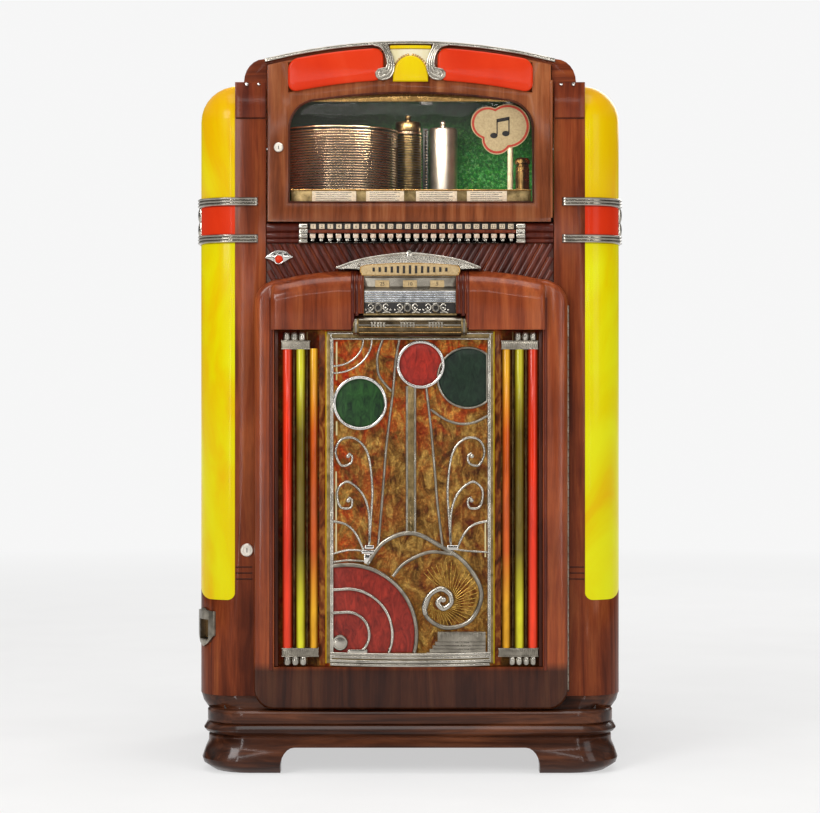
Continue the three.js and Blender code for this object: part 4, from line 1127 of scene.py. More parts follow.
def make_sticker(y):
    """A cloud-shaped paper label with a plain red border and a music note."""
    x, z = 178, 1288
    lobes = [(18, 3, 44), (-23, 9, 33), (-4, -24, 30)]

    def cloud(shrink):
        loop = []
        for i in range(96):
            angle = 2 * math.pi * i / 96
            direction = Vector((math.cos(angle), math.sin(angle)))
            reach = 0
            for cx, cz, r in lobes:
                along = direction.x * cx + direction.y * cz
                aside = direction.x * cz - direction.y * cx
                if abs(aside) < r:
                    reach = max(reach, along + math.sqrt(r * r - aside * aside))
            loop.append((x + direction.x * (reach - shrink), z + direction.y * (reach - shrink)))
        return loop

    plate("sticker_paper", [cloud(0)], y - 0.8, y, PAPER, DISPLAY_DOOR, 0.2)
    plate("sticker_border", [cloud(2), cloud(6.5)], y - 1.1, y - 0.7, RED_PAINT, DISPLAY_DOOR, 0.05)
    heads = [arc(x + dx, z - 16 + dz, 7.5, 5.5, 0, 345, 20) for dx, dz in ((-10, 0), (14, 4))]
    stems = [
        [(x - 4.6, z - 14), (x - 2.4, z - 14), (x - 2.4, z + 16), (x - 4.6, z + 15)],
        [(x + 19.2, z - 10), (x + 21.4, z - 10), (x + 21.4, z + 21), (x + 19.2, z + 20)],
        [(x - 4.6, z + 10), (x + 21.4, z + 15), (x + 21.4, z + 22), (x - 4.6, z + 17)],
    ]
    for i, loop in enumerate(heads + stems):
        plate(f"sticker_note_{i}", [loop], y - 1.2, y - 0.7, INK_AND_SHADE, DISPLAY_DOOR, 0.05)


# ---- front door ------------------------------------------------------------------------------

FRONT_DOOR = "front_door"


def make_front_door():
    """The lower door: its frame, reeded valance, hinge, liners and beads."""
    refine("front_door_frame", WALNUT_DOOR, FRONT_DOOR, 2.0)
    roll = 44
    reeds = []
    for side in (-1, 1):
        for i in range(3):
            x = side * (96.5 + i * 8.6)
            start = 915 - i * 6 if i < 2 else 886
            path = [(x, DOOR_LOW.y + 1.6, start)]
            for step in range(0, 91, 9):
                angle = math.radians(step)
                path.append((x, DOOR_LOW.y + roll - (roll - 1.6) * math.cos(angle),
                             DOOR_HIGH.z - roll + (roll - 1.6) * math.sin(angle)))
            reeds.append(path)
    wires("valance_reeds", reeds, 4.0, WALNUT_PLUM, FRONT_DOOR)
    piano_hinge("front_door_piano_hinge", (314, -280, 164), 3.6, 16, 0.8, 48, NICKEL_DULL, FRONT_DOOR)
    blocks("opening_liners", [
        ((x0, -300, 212.5), (x1, -284.4, 881.5)) for x0, x1 in ((-269.5, -262), (256, 263.5))
    ], WALNUT_DARK, FRONT_DOOR, 2.0)
    beads = [[(x, 206), (x, 946)] for x in (-276, 269)]
    rods("opening_beads", beads, 3.4, -304, WALNUT_PLUM, FRONT_DOOR)


TUBE_Y = -294.5
TUBES = (
    (-244, 9.8, TUBE_RED, "red"),
    (-217.5, 9.2, TUBE_GREEN, "green"),
    (-191.5, 8, TUBE_ORANGE, "orange"),
)


def make_tubes():
    """Three lit tubes on each side of the grille, held by knurled caps, with a lit strip beside them."""
    bottom, top = GRILLE_LOW.z, GRILLE_HIGH.z
    for name, side in (("left", 1), ("right", -1)):
        for x, r, material, colour in TUBES:
            tube = lathe(f"tube_{name}_{colour}", rounded(r, bottom + 34, top - 35, 1), (side * x, TUBE_Y, 0),
                         material, FRONT_DOOR, segments=28)
            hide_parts(f"tube_rack_{name}")
        for end, face, away in (("top", top - 37, 1), ("bottom", bottom + 36, -1)):
            collar_reach, housing_reach = CAP_REACHES[name, end]
            collar = tube_collar(side, collar_reach, face, away)
            housing = tube_housing(side, housing_reach, face, away)
            cap = piece(f"tube_cap_{name}_{end}", collar, NICKEL_DULL, FRONT_DOOR)
            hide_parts(f"tube_rack_{name}")
            shell = piece(f"tube_housing_{name}_{end}", housing, STEEL, FRONT_DOOR)
            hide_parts(f"tube_rack_{name}")
        guides = [[(side * x, bottom + 2), (side * x, top - 2)] for x in (-231, -205)]
        rods(f"tube_guides_{name}", guides, 1.1, TUBE_Y + 6, BRASS_OLD, FRONT_DOOR)
        edges = sorted((side * -181, side * -168.5))
        block(f"flame_strip_{name}", (edges[0], -287, bottom), (edges[1], -284.2, top), FLAME,
              FRONT_DOOR, 0.8)
        edge = [(side * -167, bottom + 4), (side * -167, top - 2)]
        rods(f"bright_edge_{name}", [edge], 1.1, -290, AMBER_LIT, FRONT_DOOR)


CAP_REACHES = {
    ("left", "top"): ((-255, -199), (-253, -207)),
    ("left", "bottom"): ((-254, -182), (-252, -204)),
    ("right", "top"): ((-254, -182), (-252, -207)),
    ("right", "bottom"): ((-254, -176), (-252, -196)),
}


def tube_collar(side, reach, face, away):
    """A knurled collar across the tubes, going away from face."""
    bm = bmesh.new()
    start, end = sorted(side * x for x in reach)
    front, back = TUBE_Y - 10.6, TUBE_Y + 8

    def slab(grow, y, from_face, to_face):
        low, high = sorted((face + away * from_face, face + away * to_face))
        add_block(bm, (start - grow, y, low), (end + grow, back, high))

    slab(1, front, 0, 2.4)
    slab(0, front + 1.4, 2.4, 15)
    slab(1, front, 15, 17.4)
    bevel_edges(bm, 1.0)
    low, high = sorted((face + away * 2.4, face + away * 15))
    ridges = round((end - start) / 3.9)
    for i in range(ridges):
        spot = (start + (end - start) * (i + 0.5) / ridges, front + 1.6, 0)
        add_lathe(bm, rounded(1.2, low, high, 0.4), spot, segments=8)
    return bm


def tube_housing(side, reach, face, away):
    """Domed lamp housings side by side beyond a collar."""
    bm = bmesh.new()
    start, end = sorted(side * x for x in reach)
    low, high = sorted((face + away * 16, face + away * 35))
    count = round((end - start) / 15.6)
    r = (end - start) / count / 2
    for i in range(count):
        add_lathe(bm, rounded(r - 0.3, low, high, 3.4), (start + r * (2 * i + 1), TUBE_Y - 1, 0), segments=24)
    return bm


# Bars of the grille, each a line of (x, z) points seen from the front. The left side mirrors the right.
SCROLL = [
    (82, 446), (77, 516), (75, 572), (84, 636), (108, 665), (136, 664), (148, 640), (137, 613), (119, 616),
    (115, 630), (122, 637),
]
LOWER_SCROLL = [
    (80, 460), (82, 520), (96, 558), (124, 580), (144, 563), (139, 531), (119, 528), (115, 543), (122, 549),
]
LEAF = [(156, 502), (127, 495), (108, 477), (92, 444)]
SHELL = [
    (-86, 416), (-51, 461), (4, 478), (61, 452), (110, 418), (142, 360), (120, 305), (70, 290), (31, 316),
    (40, 357),
]
SHELL_CURL = [
    (31, 316), (29, 336), (41, 357), (61, 367), (79, 357), (81, 339), (66, 328), (55, 340), (64, 350),
]
SHELL_LIP = [(-34, 392), (-10, 419), (38, 440), (84, 436)]
SHELL_EYE = (66, 346)
FAN_CENTRE = (-125, 277)
HOLE_LEFT, HOLE_RIGHT, HOLE_FOOT, HOLE_HEAD = -152, 154, 240, 862


def fan_arc(radius):
    """One arc of the fan in the lower left corner, level at the frame and upright at the foot."""
    cx, cz = FAN_CENTRE
    foot = math.degrees(math.asin(-36 / radius))
    points = arc(cx, cz, radius, radius, foot, 90, 22)
    return [*points, (HOLE_LEFT - 2, cz + radius - 2)]


def make_grille():
    """The cast grille: its frame, beads, shell, fan and scrolls, then castings and lenses."""
    low, high = GRILLE_LOW, GRILLE_HIGH
    y = (low.y + high.y) / 2
    outer = [(low.x, low.z + 6), (-120, low.z + 1), (0, low.z), (120, low.z + 1), (high.x, low.z + 6),
             (high.x, high.z), (low.x, high.z)]
    hole = [(HOLE_LEFT, HOLE_FOOT), (HOLE_RIGHT, HOLE_FOOT), (HOLE_RIGHT, HOLE_HEAD), (HOLE_LEFT, HOLE_HEAD)]
    frame_piece = plate("grille_frame", [outer, hole], low.y + 1.5, high.y, BRASS_OLD, FRONT_DOOR, 1.2)
    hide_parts("grille_casting")
    rods("grille_frame_ridges", [
        [(HOLE_LEFT - 2, 866), (HOLE_LEFT - 2, 236)], [(HOLE_RIGHT + 2, 866), (HOLE_RIGHT + 2, 236)],
        [(HOLE_LEFT - 5, 876), (HOLE_LEFT - 5, 222)], [(HOLE_RIGHT + 5, 876), (HOLE_RIGHT + 5, 222)],
        [(-163, 875), (164, 875)], [(-160, 864), (160, 864)],
    ], 2.4, low.y + 2.4, NICKEL, FRONT_DOOR)
    rods("grille_beads", [
        [(HOLE_LEFT + 6, 858), (HOLE_LEFT + 6, 782)], [(HOLE_LEFT + 6, 700), (HOLE_LEFT + 6, 672)],
        [(HOLE_LEFT + 5, 600), (HOLE_LEFT + 5, 440)], [(HOLE_RIGHT - 4, 500), (HOLE_RIGHT - 4, 430)],
    ], 1.6, high.y + 2, CREAM_LIT, FRONT_DOOR)
    rods("grille_shell", [smooth(SHELL, 8)], 4.6, y, NICKEL_DULL, FRONT_DOOR, 0.8)
    rods("grille_shell_curl", [smooth(SHELL_CURL, 8)], 5.6, y - 0.6, NICKEL, FRONT_DOOR, 0.7)
    rods("grille_shell_lip", [smooth(SHELL_LIP, 8)], 3.6, y, NICKEL_DULL, FRONT_DOOR, 0.9)
    rods("grille_fan_outer", [fan_arc(138)], 4.2, y, NICKEL_DULL, FRONT_DOOR, 0.8)
    rods("grille_fan_inner", [fan_arc(90), fan_arc(44)], 3.2, y, NICKEL, FRONT_DOOR, 0.9)
    scrolls = [smooth(mirrored(points) if side < 0 else points, 7)
               for side in (-1, 1) for points in (SCROLL, LOWER_SCROLL, LEAF)]
    rods("grille_scrolls", scrolls, 2.7, y, NICKEL, FRONT_DOOR, 0.9)
    rays = [
        smooth([(-21, 864), (-29, 818), (-34, 757), (-41, 702), (-48, 640), (-56, 534), (-64, 446)], 5),
        [(32, 770), (42, 685), (50, 593), (54, 540), (65, 448)],
        [(-6, 770), (-6, 476)], [(10, 770), (10, 476)],
        smooth([(-54, 864), (-64, 834), (-65, 814), (-60, 788), (-37, 760)], 6),
        smooth([(156, 712), (128, 698), (99, 695), (70, 704), (41, 724)], 6),
    ]
    rods("grille_rays", rays, 2.7, y, NICKEL_DULL, FRONT_DOOR, 0.9)
    thin = [
        arc(HOLE_LEFT, HOLE_HEAD, 59, 52, 270, 360, 14), arc(HOLE_LEFT, HOLE_HEAD, 76, 66, 270, 360, 14),
        smooth([(-156, 436), (-123, 444), (-93, 443)], 5), [(-156, 420), (-123, 424), (-88, 422)],
        smooth([(92, 445), (120, 442), (156, 440)], 5),
    ]
    rods("grille_thin_bars", thin, 2.1, y, NICKEL, FRONT_DOOR, 0.9)
    rods("grille_rings", [ring_path(21, 813, 45), ring_path(-99.5, 736.5, 51)], 3.6, y - 1.2, CHROME,
         FRONT_DOOR, 0.9)
    reach = HOLE_RIGHT - 1 - 115
    half_gap = math.degrees(math.acos(reach / 60))
    cut_ring = arc(115, 786.5, 60, 60, half_gap, 360 - half_gap, 44)
    rods("grille_ring_right", [[*cut_ring, cut_ring[0]]], 2.2, y, NICKEL_DULL, FRONT_DOOR, 0.9)
    make_grille_castings(low, high, y)
    make_grille_lenses(y, half_gap)


def make_grille_castings(low, high, y):
    """The solid castings on the grille: post, hubs, pedestal, studs and ribs."""
    post = bmesh.new()
    add_block(post, (-4, y - 0.6, 476), (8, y + 2, 770))
    for i in range(8):
        bead = rounded(3.4 - i * 0.25, 482 + i * 10, 491 + i * 10, 1.4)
        add_lathe(post, bead, (2, y - 0.6, 0), segments=12)
    bevel_edges(post, 0.6)
    piece("grille_post", post, BRASS_OLD, FRONT_DOOR)
    hubs = ((-90, -72, 446, 454), (-96, -70, 437, 444), (-91, -79, 418, 436), (74, 96, 444, 454))
    blocks("grille_hubs", [((x0, y - 3.4, z0), (x1, y + 2, z1)) for x0, x1, z0, z1 in hubs],
           CHROME, FRONT_DOOR, 1.4)
    levels = ((55, 262, 282), (50, 255, 262), (45, 248, 255), (39, 241, 248), (33, 234, 241))
    steps = [((x0, low.y + 0.4, z0 + 0.5), (150, high.y, z1)) for x0, z0, z1 in levels]
    for i in range(12):
        x0 = 59 + i * 7.4
        steps.append(((x0, low.y + 0.1, 265), (x0 + 4, low.y + 1.4, 280)))
    blocks("grille_pedestal", steps, NICKEL_DULL, FRONT_DOOR, 0.7)
    rail = []
    for z, reach in ((216, 0.8), (223, 0.2), (231, 0.6), (237, 1.0)):
        rail.append([(-158, z + 2, low.y + reach + 1.6), *[
            (x, z - 1 + (x / 158) ** 2 * 3, low.y + reach + 1.2 + abs(x) / 400) for x in range(-140, 141, 20)
        ], (158, z + 2, low.y + reach + 1.6)])
    wires("grille_rail", [[(x, depth, z) for x, z, depth in line] for line in rail], 3.6, NICKEL, FRONT_DOOR)
    lathe("grille_stud", [(0, -3), (16, -3), (16, 1), (14, 3.4), (11.6, 3.4), (11, 1.6), (5, 2.4), (0, 2.6)],
          (-139, y, 260), NICKEL, FRONT_DOOR, "Y", 36)
    block("grille_stud_plate", (-124, y - 3, 238), (-85, y + 2, 247), NICKEL, FRONT_DOOR, 1.2)
    buds = bmesh.new()
    bud = [(0, -2), (4.4, -2), (4.0, 1.6), (2, 3.2), (0, 3.6)]
    for side in (-1, 1):
        for x, z in ((123, 631), (122.5, 543)):
            add_lathe(buds, bud, (side * x, y - 0.6, z), "Y", 18)
    eye = [(0, -2), (6, -2), (5.4, 1.4), (3, 3), (0, 3.4)]
    add_lathe(buds, eye, (SHELL_EYE[0], y - 1.4, SHELL_EYE[1]), "Y", 20)
    piece("grille_buds", buds, NICKEL, FRONT_DOOR)
    ribs = []
    for i in range(34):
        angle = math.radians(-150 + 8.2 * i)
        start = 24
        end = 64 + 14 * math.cos(angle - math.radians(35))
        ribs.append(smooth([
            (SHELL_EYE[0] + r * math.cos(angle + lean), SHELL_EYE[1] + r * math.sin(angle + lean))
            for r, lean in ((start, -0.3), ((start + end) / 2, 0.02), (end, 0.1))
        ], 4))
    rods("shell_ribs", ribs, 0.9, y + 7, GOLD, FRONT_DOOR, 0.9)


def make_grille_lenses(y, half_gap):
    """The coloured plastic discs and the fan held behind the castings."""
    back = y + 5.5

    def disc(name, x, z, r, material, swell=4):
        lathe(name, [(0, -1), (r, -1), (r - 1, 1.5), (r * 0.7, swell * 0.8), (r * 0.35, swell), (0, swell)],
              (x, back, z), material, FRONT_DOOR, "Y", 44)

    disc("lens_red", 21, 813, 43.5, JEWEL_RED)
    disc("lens_green_left", -99.5, 736.5, 50, JEWEL_GREEN)
    cut = arc(115, 786.5, 58.5, 58.5, half_gap, 360 - half_gap, 44)
    plate("lens_green_right", [cut], back - 2, back + 2, JEWEL_DARK, FRONT_DOOR, 1.4)
    outer = arc(FAN_CENTRE[0], FAN_CENTRE[1], 137, 137, -15, 90, 26)
    fan = [*outer, (HOLE_LEFT, 413), (HOLE_LEFT, HOLE_FOOT), (6, HOLE_FOOT)]
    plate("lens_red_fan", [fan], back - 1.4, back + 2, FAN_RED, FRONT_DOOR, 0.6)


def make_screen():
    low, high = SCREEN_LOW, SCREEN_HIGH
    rows, columns = 90, 72
    random.seed(24)
    bumps = [[random.random() for _ in range(columns + 1)] for _ in range(rows + 1)]
    bm = bmesh.new()
    front_face = []
    for r in range(rows + 1):
        line = []
        for c in range(columns + 1):
            x = low.x + (high.x - low.x) * c / columns
            z = low.z + (high.z - low.z) * r / rows
            crinkle = 0.0 if r in (0, rows) or c in (0, columns) else bumps[r][c] * 1.4
            line.append(bm.verts.new(Vector((x, low.y + 1.8 - crinkle, z)) * MM))
        front_face.append(line)
    for r in range(rows):
        for c in range(columns):
            low_row, high_row = front_face[r], front_face[r + 1]
            bm.faces.new((low_row[c], low_row[c + 1], high_row[c + 1], high_row[c]))
    edge = [front_face[0][c] for c in range(columns + 1)]
    edge += [front_face[r][columns] for r in range(1, rows + 1)]
    edge += [front_face[rows][c] for c in range(columns - 1, -1, -1)]
    edge += [front_face[r][0] for r in range(rows - 1, 0, -1)]
    rear = [bm.verts.new(Vector((v.co.x, high.y * MM, v.co.z))) for v in edge]
    for i in range(len(edge)):
        j = (i + 1) % len(edge)
        bm.faces.new((edge[i], rear[i], rear[j], edge[j]))
    bm.faces.new(rear)
    cloth = piece("screen_cloth", bm, SCREEN, FRONT_DOOR, 80)
    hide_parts("grille_backing")


# ---- coin head -------------------------------------------------------------------------------


def make_coin_head():
    refine("coin_head_casting", NICKEL_DULL, FRONT_DOOR, 1.2)
    plaque = [(-97, 988.5), *arc(-93, 1000, 7, 9, 230, 110, 8),
              *[(x, 1014.5 - (x / 96) ** 2 * 5) for x in range(-88, 89, 8)],
              *arc(93, 1000, 7, 9, 70, -50, 8), (97, 988.5)]
    plate("name_plaque_frame", [plaque], -312.6, -300, BRASS, FRONT_DOOR, 1.2)
    face = [(-143, 1003), (-104, 1017), (-54, 1026.5), (-2, 1031), (50, 1026.5), (100, 1017), (137, 1003)]
    plate("crest_face", [smooth(face, 6)], -308.8, -306, NICKEL, FRONT_DOOR, 0.4)
    inner = [(x * 0.975, 1001.5 + (z - 1001.5) * 0.84) for x, z in plaque]
    plate("name_plaque", [inner], -313.6, -306, ENAMEL, FRONT_DOOR, 0.6)
    bars = []
    for i in range(-6, 7):
        half = (17 - abs(i) * 1.5) / 2
        bars.append(((i * 12 - 2.4, -314.6, 1001 - half), (i * 12 + 2.4, -313.4, 1001 + half)))
    blocks("plaque_ornament", bars, INK_AND_SHADE, FRONT_DOOR, 0.5)
    crest = smooth([(-146, 1004.5), (-104, 1019), (-54, 1028.5), (-2, 1033), (50, 1028.5), (100, 1019),
                    (140, 1004.5)], 8)
    rods("crest_rim", [crest], 2.6, -308, NICKEL, FRONT_DOOR)
    knob = bmesh.new()
    for x, z, r in ((-2, 1030, 8), (-102, 1011, 4), (98, 1011, 4)):
        add_lathe(knob, [(0, -2), (r, -2), (r, 2), (r * 0.6, 4), (0, 4.6)], (x, -308, z), "Y", 20, (0.9, 1.1))
    piece("crest_knobs", knob, NICKEL, FRONT_DOOR)
    coins = ((-55, "25"), (0, "10"), (54, "5"))
    blocks("coin_windows", [((x - 14, -310.6, 966), (x + 14, -306, 980)) for x, value in coins],
           ENAMEL, FRONT_DOOR, 1.2)
    values = bmesh.new()
    for x, value in coins:
        add_digits(values, value, x, -310.9, 969.5, 10)
    piece("coin_values", values, INK_AND_SHADE, FRONT_DOOR)
    rods("coin_head_ledges", [[(-90, z), (90, z)] for z in (986, 962)], 1.4, -312, BRONZE, FRONT_DOOR)
    reeds = [[(-90, z), (90, z)] for z in (956, 951.5, 947, 942.5, 938)]
    rods("coin_head_reeds", reeds, 1.9, -317, SILVER, FRONT_DOOR)
    make_coin_entries()
    make_coin_tray()


def make_coin_entries():
    """A scrolled mount with a round mouth before each coin chute, over a recess whose shade is painted as a
    black block.
    """
    block("coin_entry_recess", (-90, -318.6, 914), (90, -312, 935), INK_AND_SHADE, FRONT_DOOR, 0.8)
    mounts, scrolls = bmesh.new(), []
    for x in SLIDE_CENTRES:
        add_lathe(mounts, [(3.4, -2), (8.6, -2), (8.6, 1), (7, 3), (4.4, 3), (3.4, 1.6), (3.4, -2)],
                  (x, -318.4, 925), "Y", 24, (1, 1.15))
        for turn, start, end in ((-1, 200, 520), (1, -20, -340)):
            scrolls.append(arc(x + turn * 15, 926, 5.2, 6.4, start, end, 14))
            scrolls.append([(x + turn * 9, 915), (x + turn * 16, 917), (x + turn * 24, 915)])
            add_lathe(mounts, [(0, -2), (2.4, -2), (2, 2), (0, 3)], (x + turn * 15, -318.4, 925), "Y", 12)
            tip = (x + turn * 24.5, -318.4, 921)
            add_lathe(mounts, [(0, -2), (2.2, -2), (1.8, 2), (0, 2.6)], tip, "Y", 12)
    piece("coin_entry_mounts", mounts, NICKEL, FRONT_DOOR)
    rods("coin_entry_scrolls", scrolls, 1.6, -319.4, NICKEL, FRONT_DOOR)
    rods("coin_entry_lip", [[(-92, 911.5), (92, 911.5)]], 2.2, -319.5, BRASS_OLD, FRONT_DOOR)


def make_coin_tray():
    """The rolled tray under the slides: a bright lip, a bronze underside and banded ends."""
    roll = bmesh.new()
    section = arc(-308.2, 888, 20.8, 20.8, 176, 262, 12) + arc(-308.2, 888, 17, 17, 262, 176, 12)
    ends = [[roll.verts.new(Vector((x, y, z)) * MM) for y, z in section] for x in (-101, 101)]
    for i in range(len(section)):
        j = (i + 1) % len(section)
        roll.faces.new((ends[0][i], ends[0][j], ends[1][j], ends[1][i]))
    roll.faces.new(ends[0])
    roll.faces.new(ends[1])
    piece("coin_tray_roll", roll, BRONZE, FRONT_DOOR)
    rods("coin_tray_lip", [[(-101, z), (101, z)] for z in (898.4, 894)], 2.2, -326.8, BRONZE, FRONT_DOOR)
    rods("coin_tray_lines", [[(-101, z), (101, z)] for z in (886, 876)], 0.9, -328.4, BRASS, FRONT_DOOR)
    caps = bmesh.new()
    for side in (-1, 1):
        for r, x in ((20.4, 105), (18, 109), (19.8, 113)):
            start, end = sorted((side * x, side * (x - 4)))
            add_lathe(caps, rounded(r, start, end, 1), (0, -308.4, 891), "X", 32)
    bmesh.ops.bisect_plane(caps, geom=caps.verts[:] + caps.edges[:] + caps.faces[:], dist=1e-6,
                           plane_co=(0, (GRILLE_LOW.y - 0.3) * MM, 0), plane_no=(0, 1, 0), clear_outer=True)
    bmesh.ops.holes_fill(caps, edges=[e for e in caps.edges if len(e.link_faces) == 1])
    piece("coin_tray_ends", caps, BRASS_OLD, FRONT_DOOR)
    curls = [smooth([(s * 106, 903), (s * 112, 905), (s * 116, 910), (s * 117, 917)], 5) for s in (-1, 1)]
    rods("coin_tray_curls", curls, 2.0, -318, CHROME, FRONT_DOOR)


SLIDE_CENTRES = [sum(v.x for v in box_mm(f"coin_slide_{n}")) / 2 for n in ("left", "centre", "right")]


def make_slides():
    """Each slide as a plate with five ribs to push on."""
    for name in ("left", "centre", "right"):
        low, high = box_mm(f"coin_slide_{name}")
        spans = [((low.x, low.y + 2, low.z), (high.x, high.y, high.z))]
        for i in range(5):
            x = low.x + 3 + i * (high.x - low.x - 6) / 4
            spans.append(((x - 1.6, low.y + 0.2, low.z + 1), (x + 1.6, low.y + 6, high.z - 1)))
        slide = blocks(f"coin_slide_{name}_ribbed", spans, NICKEL_DULL, f"coin_slide_{name}", 0.6)
        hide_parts(f"coin_slide_{name}")


def make_coin_return():
    """The cup and flap that give coins back."""
    refine("coin_return_cup", NICKEL_DULL, CABINET, 0.8)
    refine("coin_return_flap", BRASS, "coin_return_flap", 0.5)


# ---- mechanism -------------------------------------------------------------------------------


POST_X, POST_Y = -4, 40
TRAYS = 23
TRAY_RADIUS = 127
DECK_TOP = 1112
ON_DECK = DECK_TOP + 0.3


def make_deck():
    deck = block("deck_plate", (-345, -240, 1100), (345, 290, DECK_TOP), IRON, CABINET, 1.5)
    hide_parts("mechanism_deck")
    board = block("backdrop", (-300, 150.2, DECK_TOP + 0.2), (300, 155.8, 1390), GLITTER, CABINET, 0.8)
    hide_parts("mechanism_deck")


def make_tray_stack():
    """The resting trays, each with its record and its hub on the tray post."""
    x, y = STACK_LOW.x + TRAY_RADIUS, 0
    pitch = (STACK_HIGH.z - STACK_LOW.z) / TRAYS
    rim_bm, disc_bm, hub_bm = bmesh.new(), bmesh.new(), bmesh.new()
    for i in range(TRAYS):
        z = STACK_LOW.z + i * pitch
        add_lathe(rim_bm, tray_rim(z), (x, y, 0), segments=72)
        add_lathe(disc_bm, [(3.6, z + 1.6), (118.6, z + 1.6), (119, z + 2.2), (118.6, z + 2.8), (46, z + 2.8),
                            (3.6, z + 2.8), (3.6, z + 1.6)], (x, y, 0), segments=64)
        add_lathe(hub_bm, [
            (18.6, z + 0.3), (27.6, z + 0.3), (28.8, z + 1.2), (28.8, z + pitch - 2),
            (27.6, z + pitch - 1.2), (18.6, z + pitch - 1.2), (18.6, z + 0.3),
        ], (POST_X, POST_Y, 0), segments=36)
        add_block(rim_bm, (-38, 24, z + 0.5), (-20, 44, z + 1.9))
    stack = piece("record_trays", rim_bm, TRAY_METAL, CABINET)
    discs = piece("records", disc_bm, RECORD, CABINET)
    hubs = piece("tray_hubs", hub_bm, BRASS_OLD, CABINET)
    for part in (stack, discs, hubs):
        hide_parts("record_tray_stack")


def make_posts():
    """The tray post, the motor cover, the selector ladder and the two posts by the arm."""
    finial = [(7, 1), (7, 4), (4.5, 6), (6.6, 9), (6.6, 13), (3, 16), (0, 16.4)]
    post_top, motor_top, small_top = 1332, 1324, 1249
    lathe("tray_post", [
        (0, DECK_TOP), (18, DECK_TOP), (18, 1311.5), (26, 1311.5), (27, 1313), (27, post_top - 3),
        (25, post_top),
        *[(r, post_top + z) for r, z in finial],
    ], (POST_X, POST_Y, 0), BRASS_OLD, CABINET)
    lathe("motor_cover", [
        (0, ON_DECK), (30.5, ON_DECK), (31, 1114), (31, motor_top - 5), (30, motor_top - 2),
        (27, motor_top),
        *[(r, motor_top + z) for r, z in finial],
    ], (71, 85, 0), BRUSHED, CABINET, segments=56)
    ladder = bmesh.new()
    rung = [(0, -2), (2.3, -1.6), (2.9, 0), (2.3, 1.6), (0, 2)]
    for i in range(30):
        add_lathe(ladder, rung, (34, 60, 1130 + i * 6.4), segments=10)
    piece("selector_ladder", ladder, CHROME, CABINET)
    block("ladder_back", (27, 64, ON_DECK), (39, 70, 1322), IRON, CABINET, 1.0)
    lathe("arm_counterpost", [
        (0, ON_DECK), (14.5, ON_DECK), (14.5, small_top - 20), (13, small_top - 18), (13, small_top - 15),
        (16, small_top - 13), (16, small_top - 5), (12, small_top - 1), (5, small_top),
        (0, small_top + 0.4),
    ], (236, -40, 0), BRASS, CABINET)
    lathe("tonearm_post", rounded(6, ON_DECK, 1371.6, 1.5), (215, 60, 0), IVORY, CABINET)


def make_turntable():
    """The lifting shaft, the platter with its spindle and pads, and the tone arm above."""
    refine("turntable_shaft", STEEL, "lift_shaft", 0.6)
    refine("tonearm", IRON, "tonearm", 1.4)
    table_low, table_high = box_mm("turntable")
    cx, cy = (table_low.x + table_high.x) / 2, (table_low.y + table_high.y) / 2
    base = table_low.z
    platter = lathe("turntable_platter", [
        (0, base), (73, base), (75, base + 2), (75, base + 6), (73, base + 8), (70, base + 9.4),
        (12, base + 9.6), (12, base + 11), (3.4, base + 11.4), (3.4, base + 19.6), (1.6, base + 21.4),
        (0, base + 21.6),
    ], (cx, cy, 0), IRON, "turntable", segments=56)
    felt = bmesh.new()
    for i in range(3):
        angle = 2 * math.pi * i / 3
        add_lathe(felt, [(0, base + 9.2), (7, base + 9.2), (6.6, base + 10.6), (0, base + 10.8)],
                  (cx + 45 * math.cos(angle), cy + 45 * math.sin(angle), 0), segments=20)
    piece("turntable_pads", felt, RED_PAINT, "turntable")
    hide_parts("turntable")


def tray_rim(z):
    """The section of a tray: a thin ring with a raised outer rim."""
    return [
        (84, z + 0.3), (126, z + 0.3), (126.8, z + 0.9), (127, z + 1.8), (126.8, z + 2.7), (126, z + 3.4),
        (121.4, z + 3.4), (121, z + 1.5), (84, z + 1.5), (84, z + 0.3),
    ]


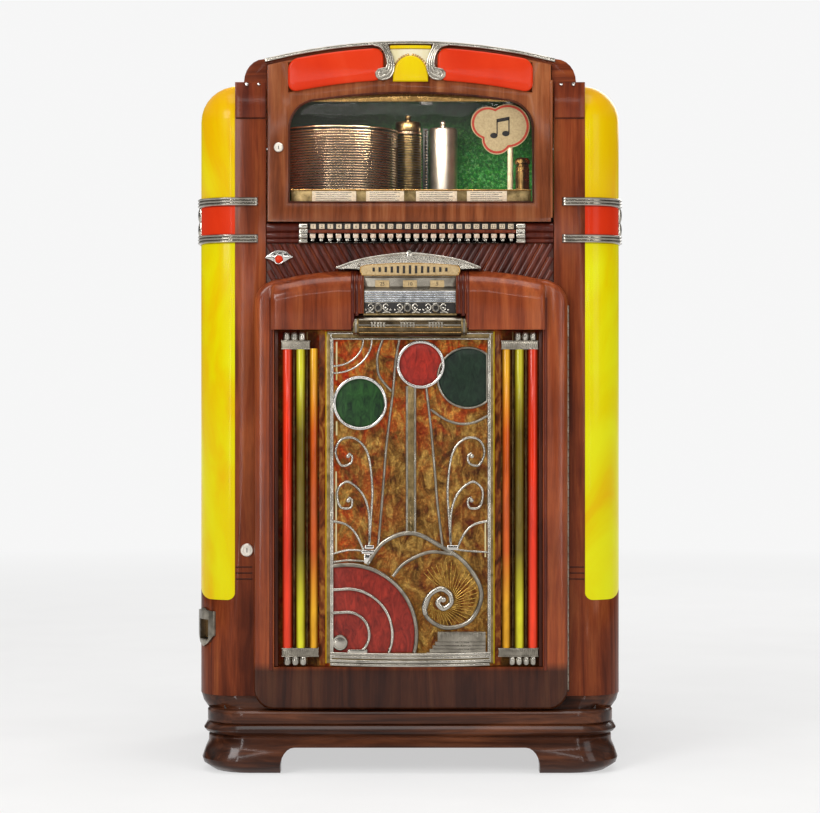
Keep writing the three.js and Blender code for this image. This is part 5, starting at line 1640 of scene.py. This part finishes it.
def make_moving_tray():
    """The tray that swings out, with its grooved record and plain red label."""
    low, high = box_mm("record_tray")
    x, y = low.x + TRAY_RADIUS, 0
    bm = bmesh.new()
    add_lathe(bm, tray_rim(low.z), (x, y, 0), segments=72)
    add_lathe(bm, [(18.8, low.z + 0.2), (28.6, low.z + 0.2), (29, low.z + 1.4), (29, high.z - 1),
                   (28, high.z), (18.8, high.z), (18.8, low.z + 0.2)], (POST_X, POST_Y, 0), segments=36)
    add_block(bm, (-40, 24, low.z + 0.4), (-20, 44, low.z + 2.2))
    tray = piece("swing_tray", bm, TRAY_METAL, "record_tray")
    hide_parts("record_tray")
    z = low.z + 1.6
    grooves = [(3.8, z), (119.6, z), (120, z + 0.8), (119.6, z + 1.6)]
    r = 117.0
    while r > 52:
        grooves += [(r, z + 1.6), (r - 1.2, z + 1.4)]
        r -= 2.4
    grooves += [(3.8, z + 1.6), (3.8, z)]
    lathe("swing_record", grooves, (x, y, 0), RECORD, "record_tray", segments=64)
    paper = [(4, z + 1.5), (38, z + 1.5), (38, z + 1.9), (4, z + 1.9), (4, z + 1.5)]
    lathe("swing_record_label", paper, (x, y, 0), RED_PAINT, "record_tray")


def make_back_door():
    """The plain back board with brass screws and a ring for the cord."""
    refine("back_door", WALNUT_DARK, "back_door", 1.2)
    screws = bmesh.new()
    for x in (-388, 388):
        for z in (190, 520, 960, 1270):
            add_lathe(screws, [(0, 0), (6, 0), (5, -1.6), (2, -2.4), (0, -2.4)], (x, 314, z), "Y", 18)
    piece("back_door_screws", screws, BRASS, "back_door")
    ring = [(14, 0), (20, 0), (20, -3), (17, -4.5), (14, -4), (14, 0)]
    lathe("cord_outlet_ring", ring, (300, 314, 220), IRON, "back_door", "Y", 32)


make_camera()
make_stage()
make_cabinet()
make_bands()
make_crown_trim()
make_pilaster_details()
lock("cabinet_lock", -326, FRONT, 442, 13, CABINET)
make_header()
make_escutcheon()
make_keyboard()
make_display_door()
make_front_door()
make_tubes()
make_grille()
make_screen()
make_coin_head()
make_slides()
make_coin_return()
make_deck()
make_tray_stack()
make_posts()
make_turntable()
make_moving_tray()
make_back_door()
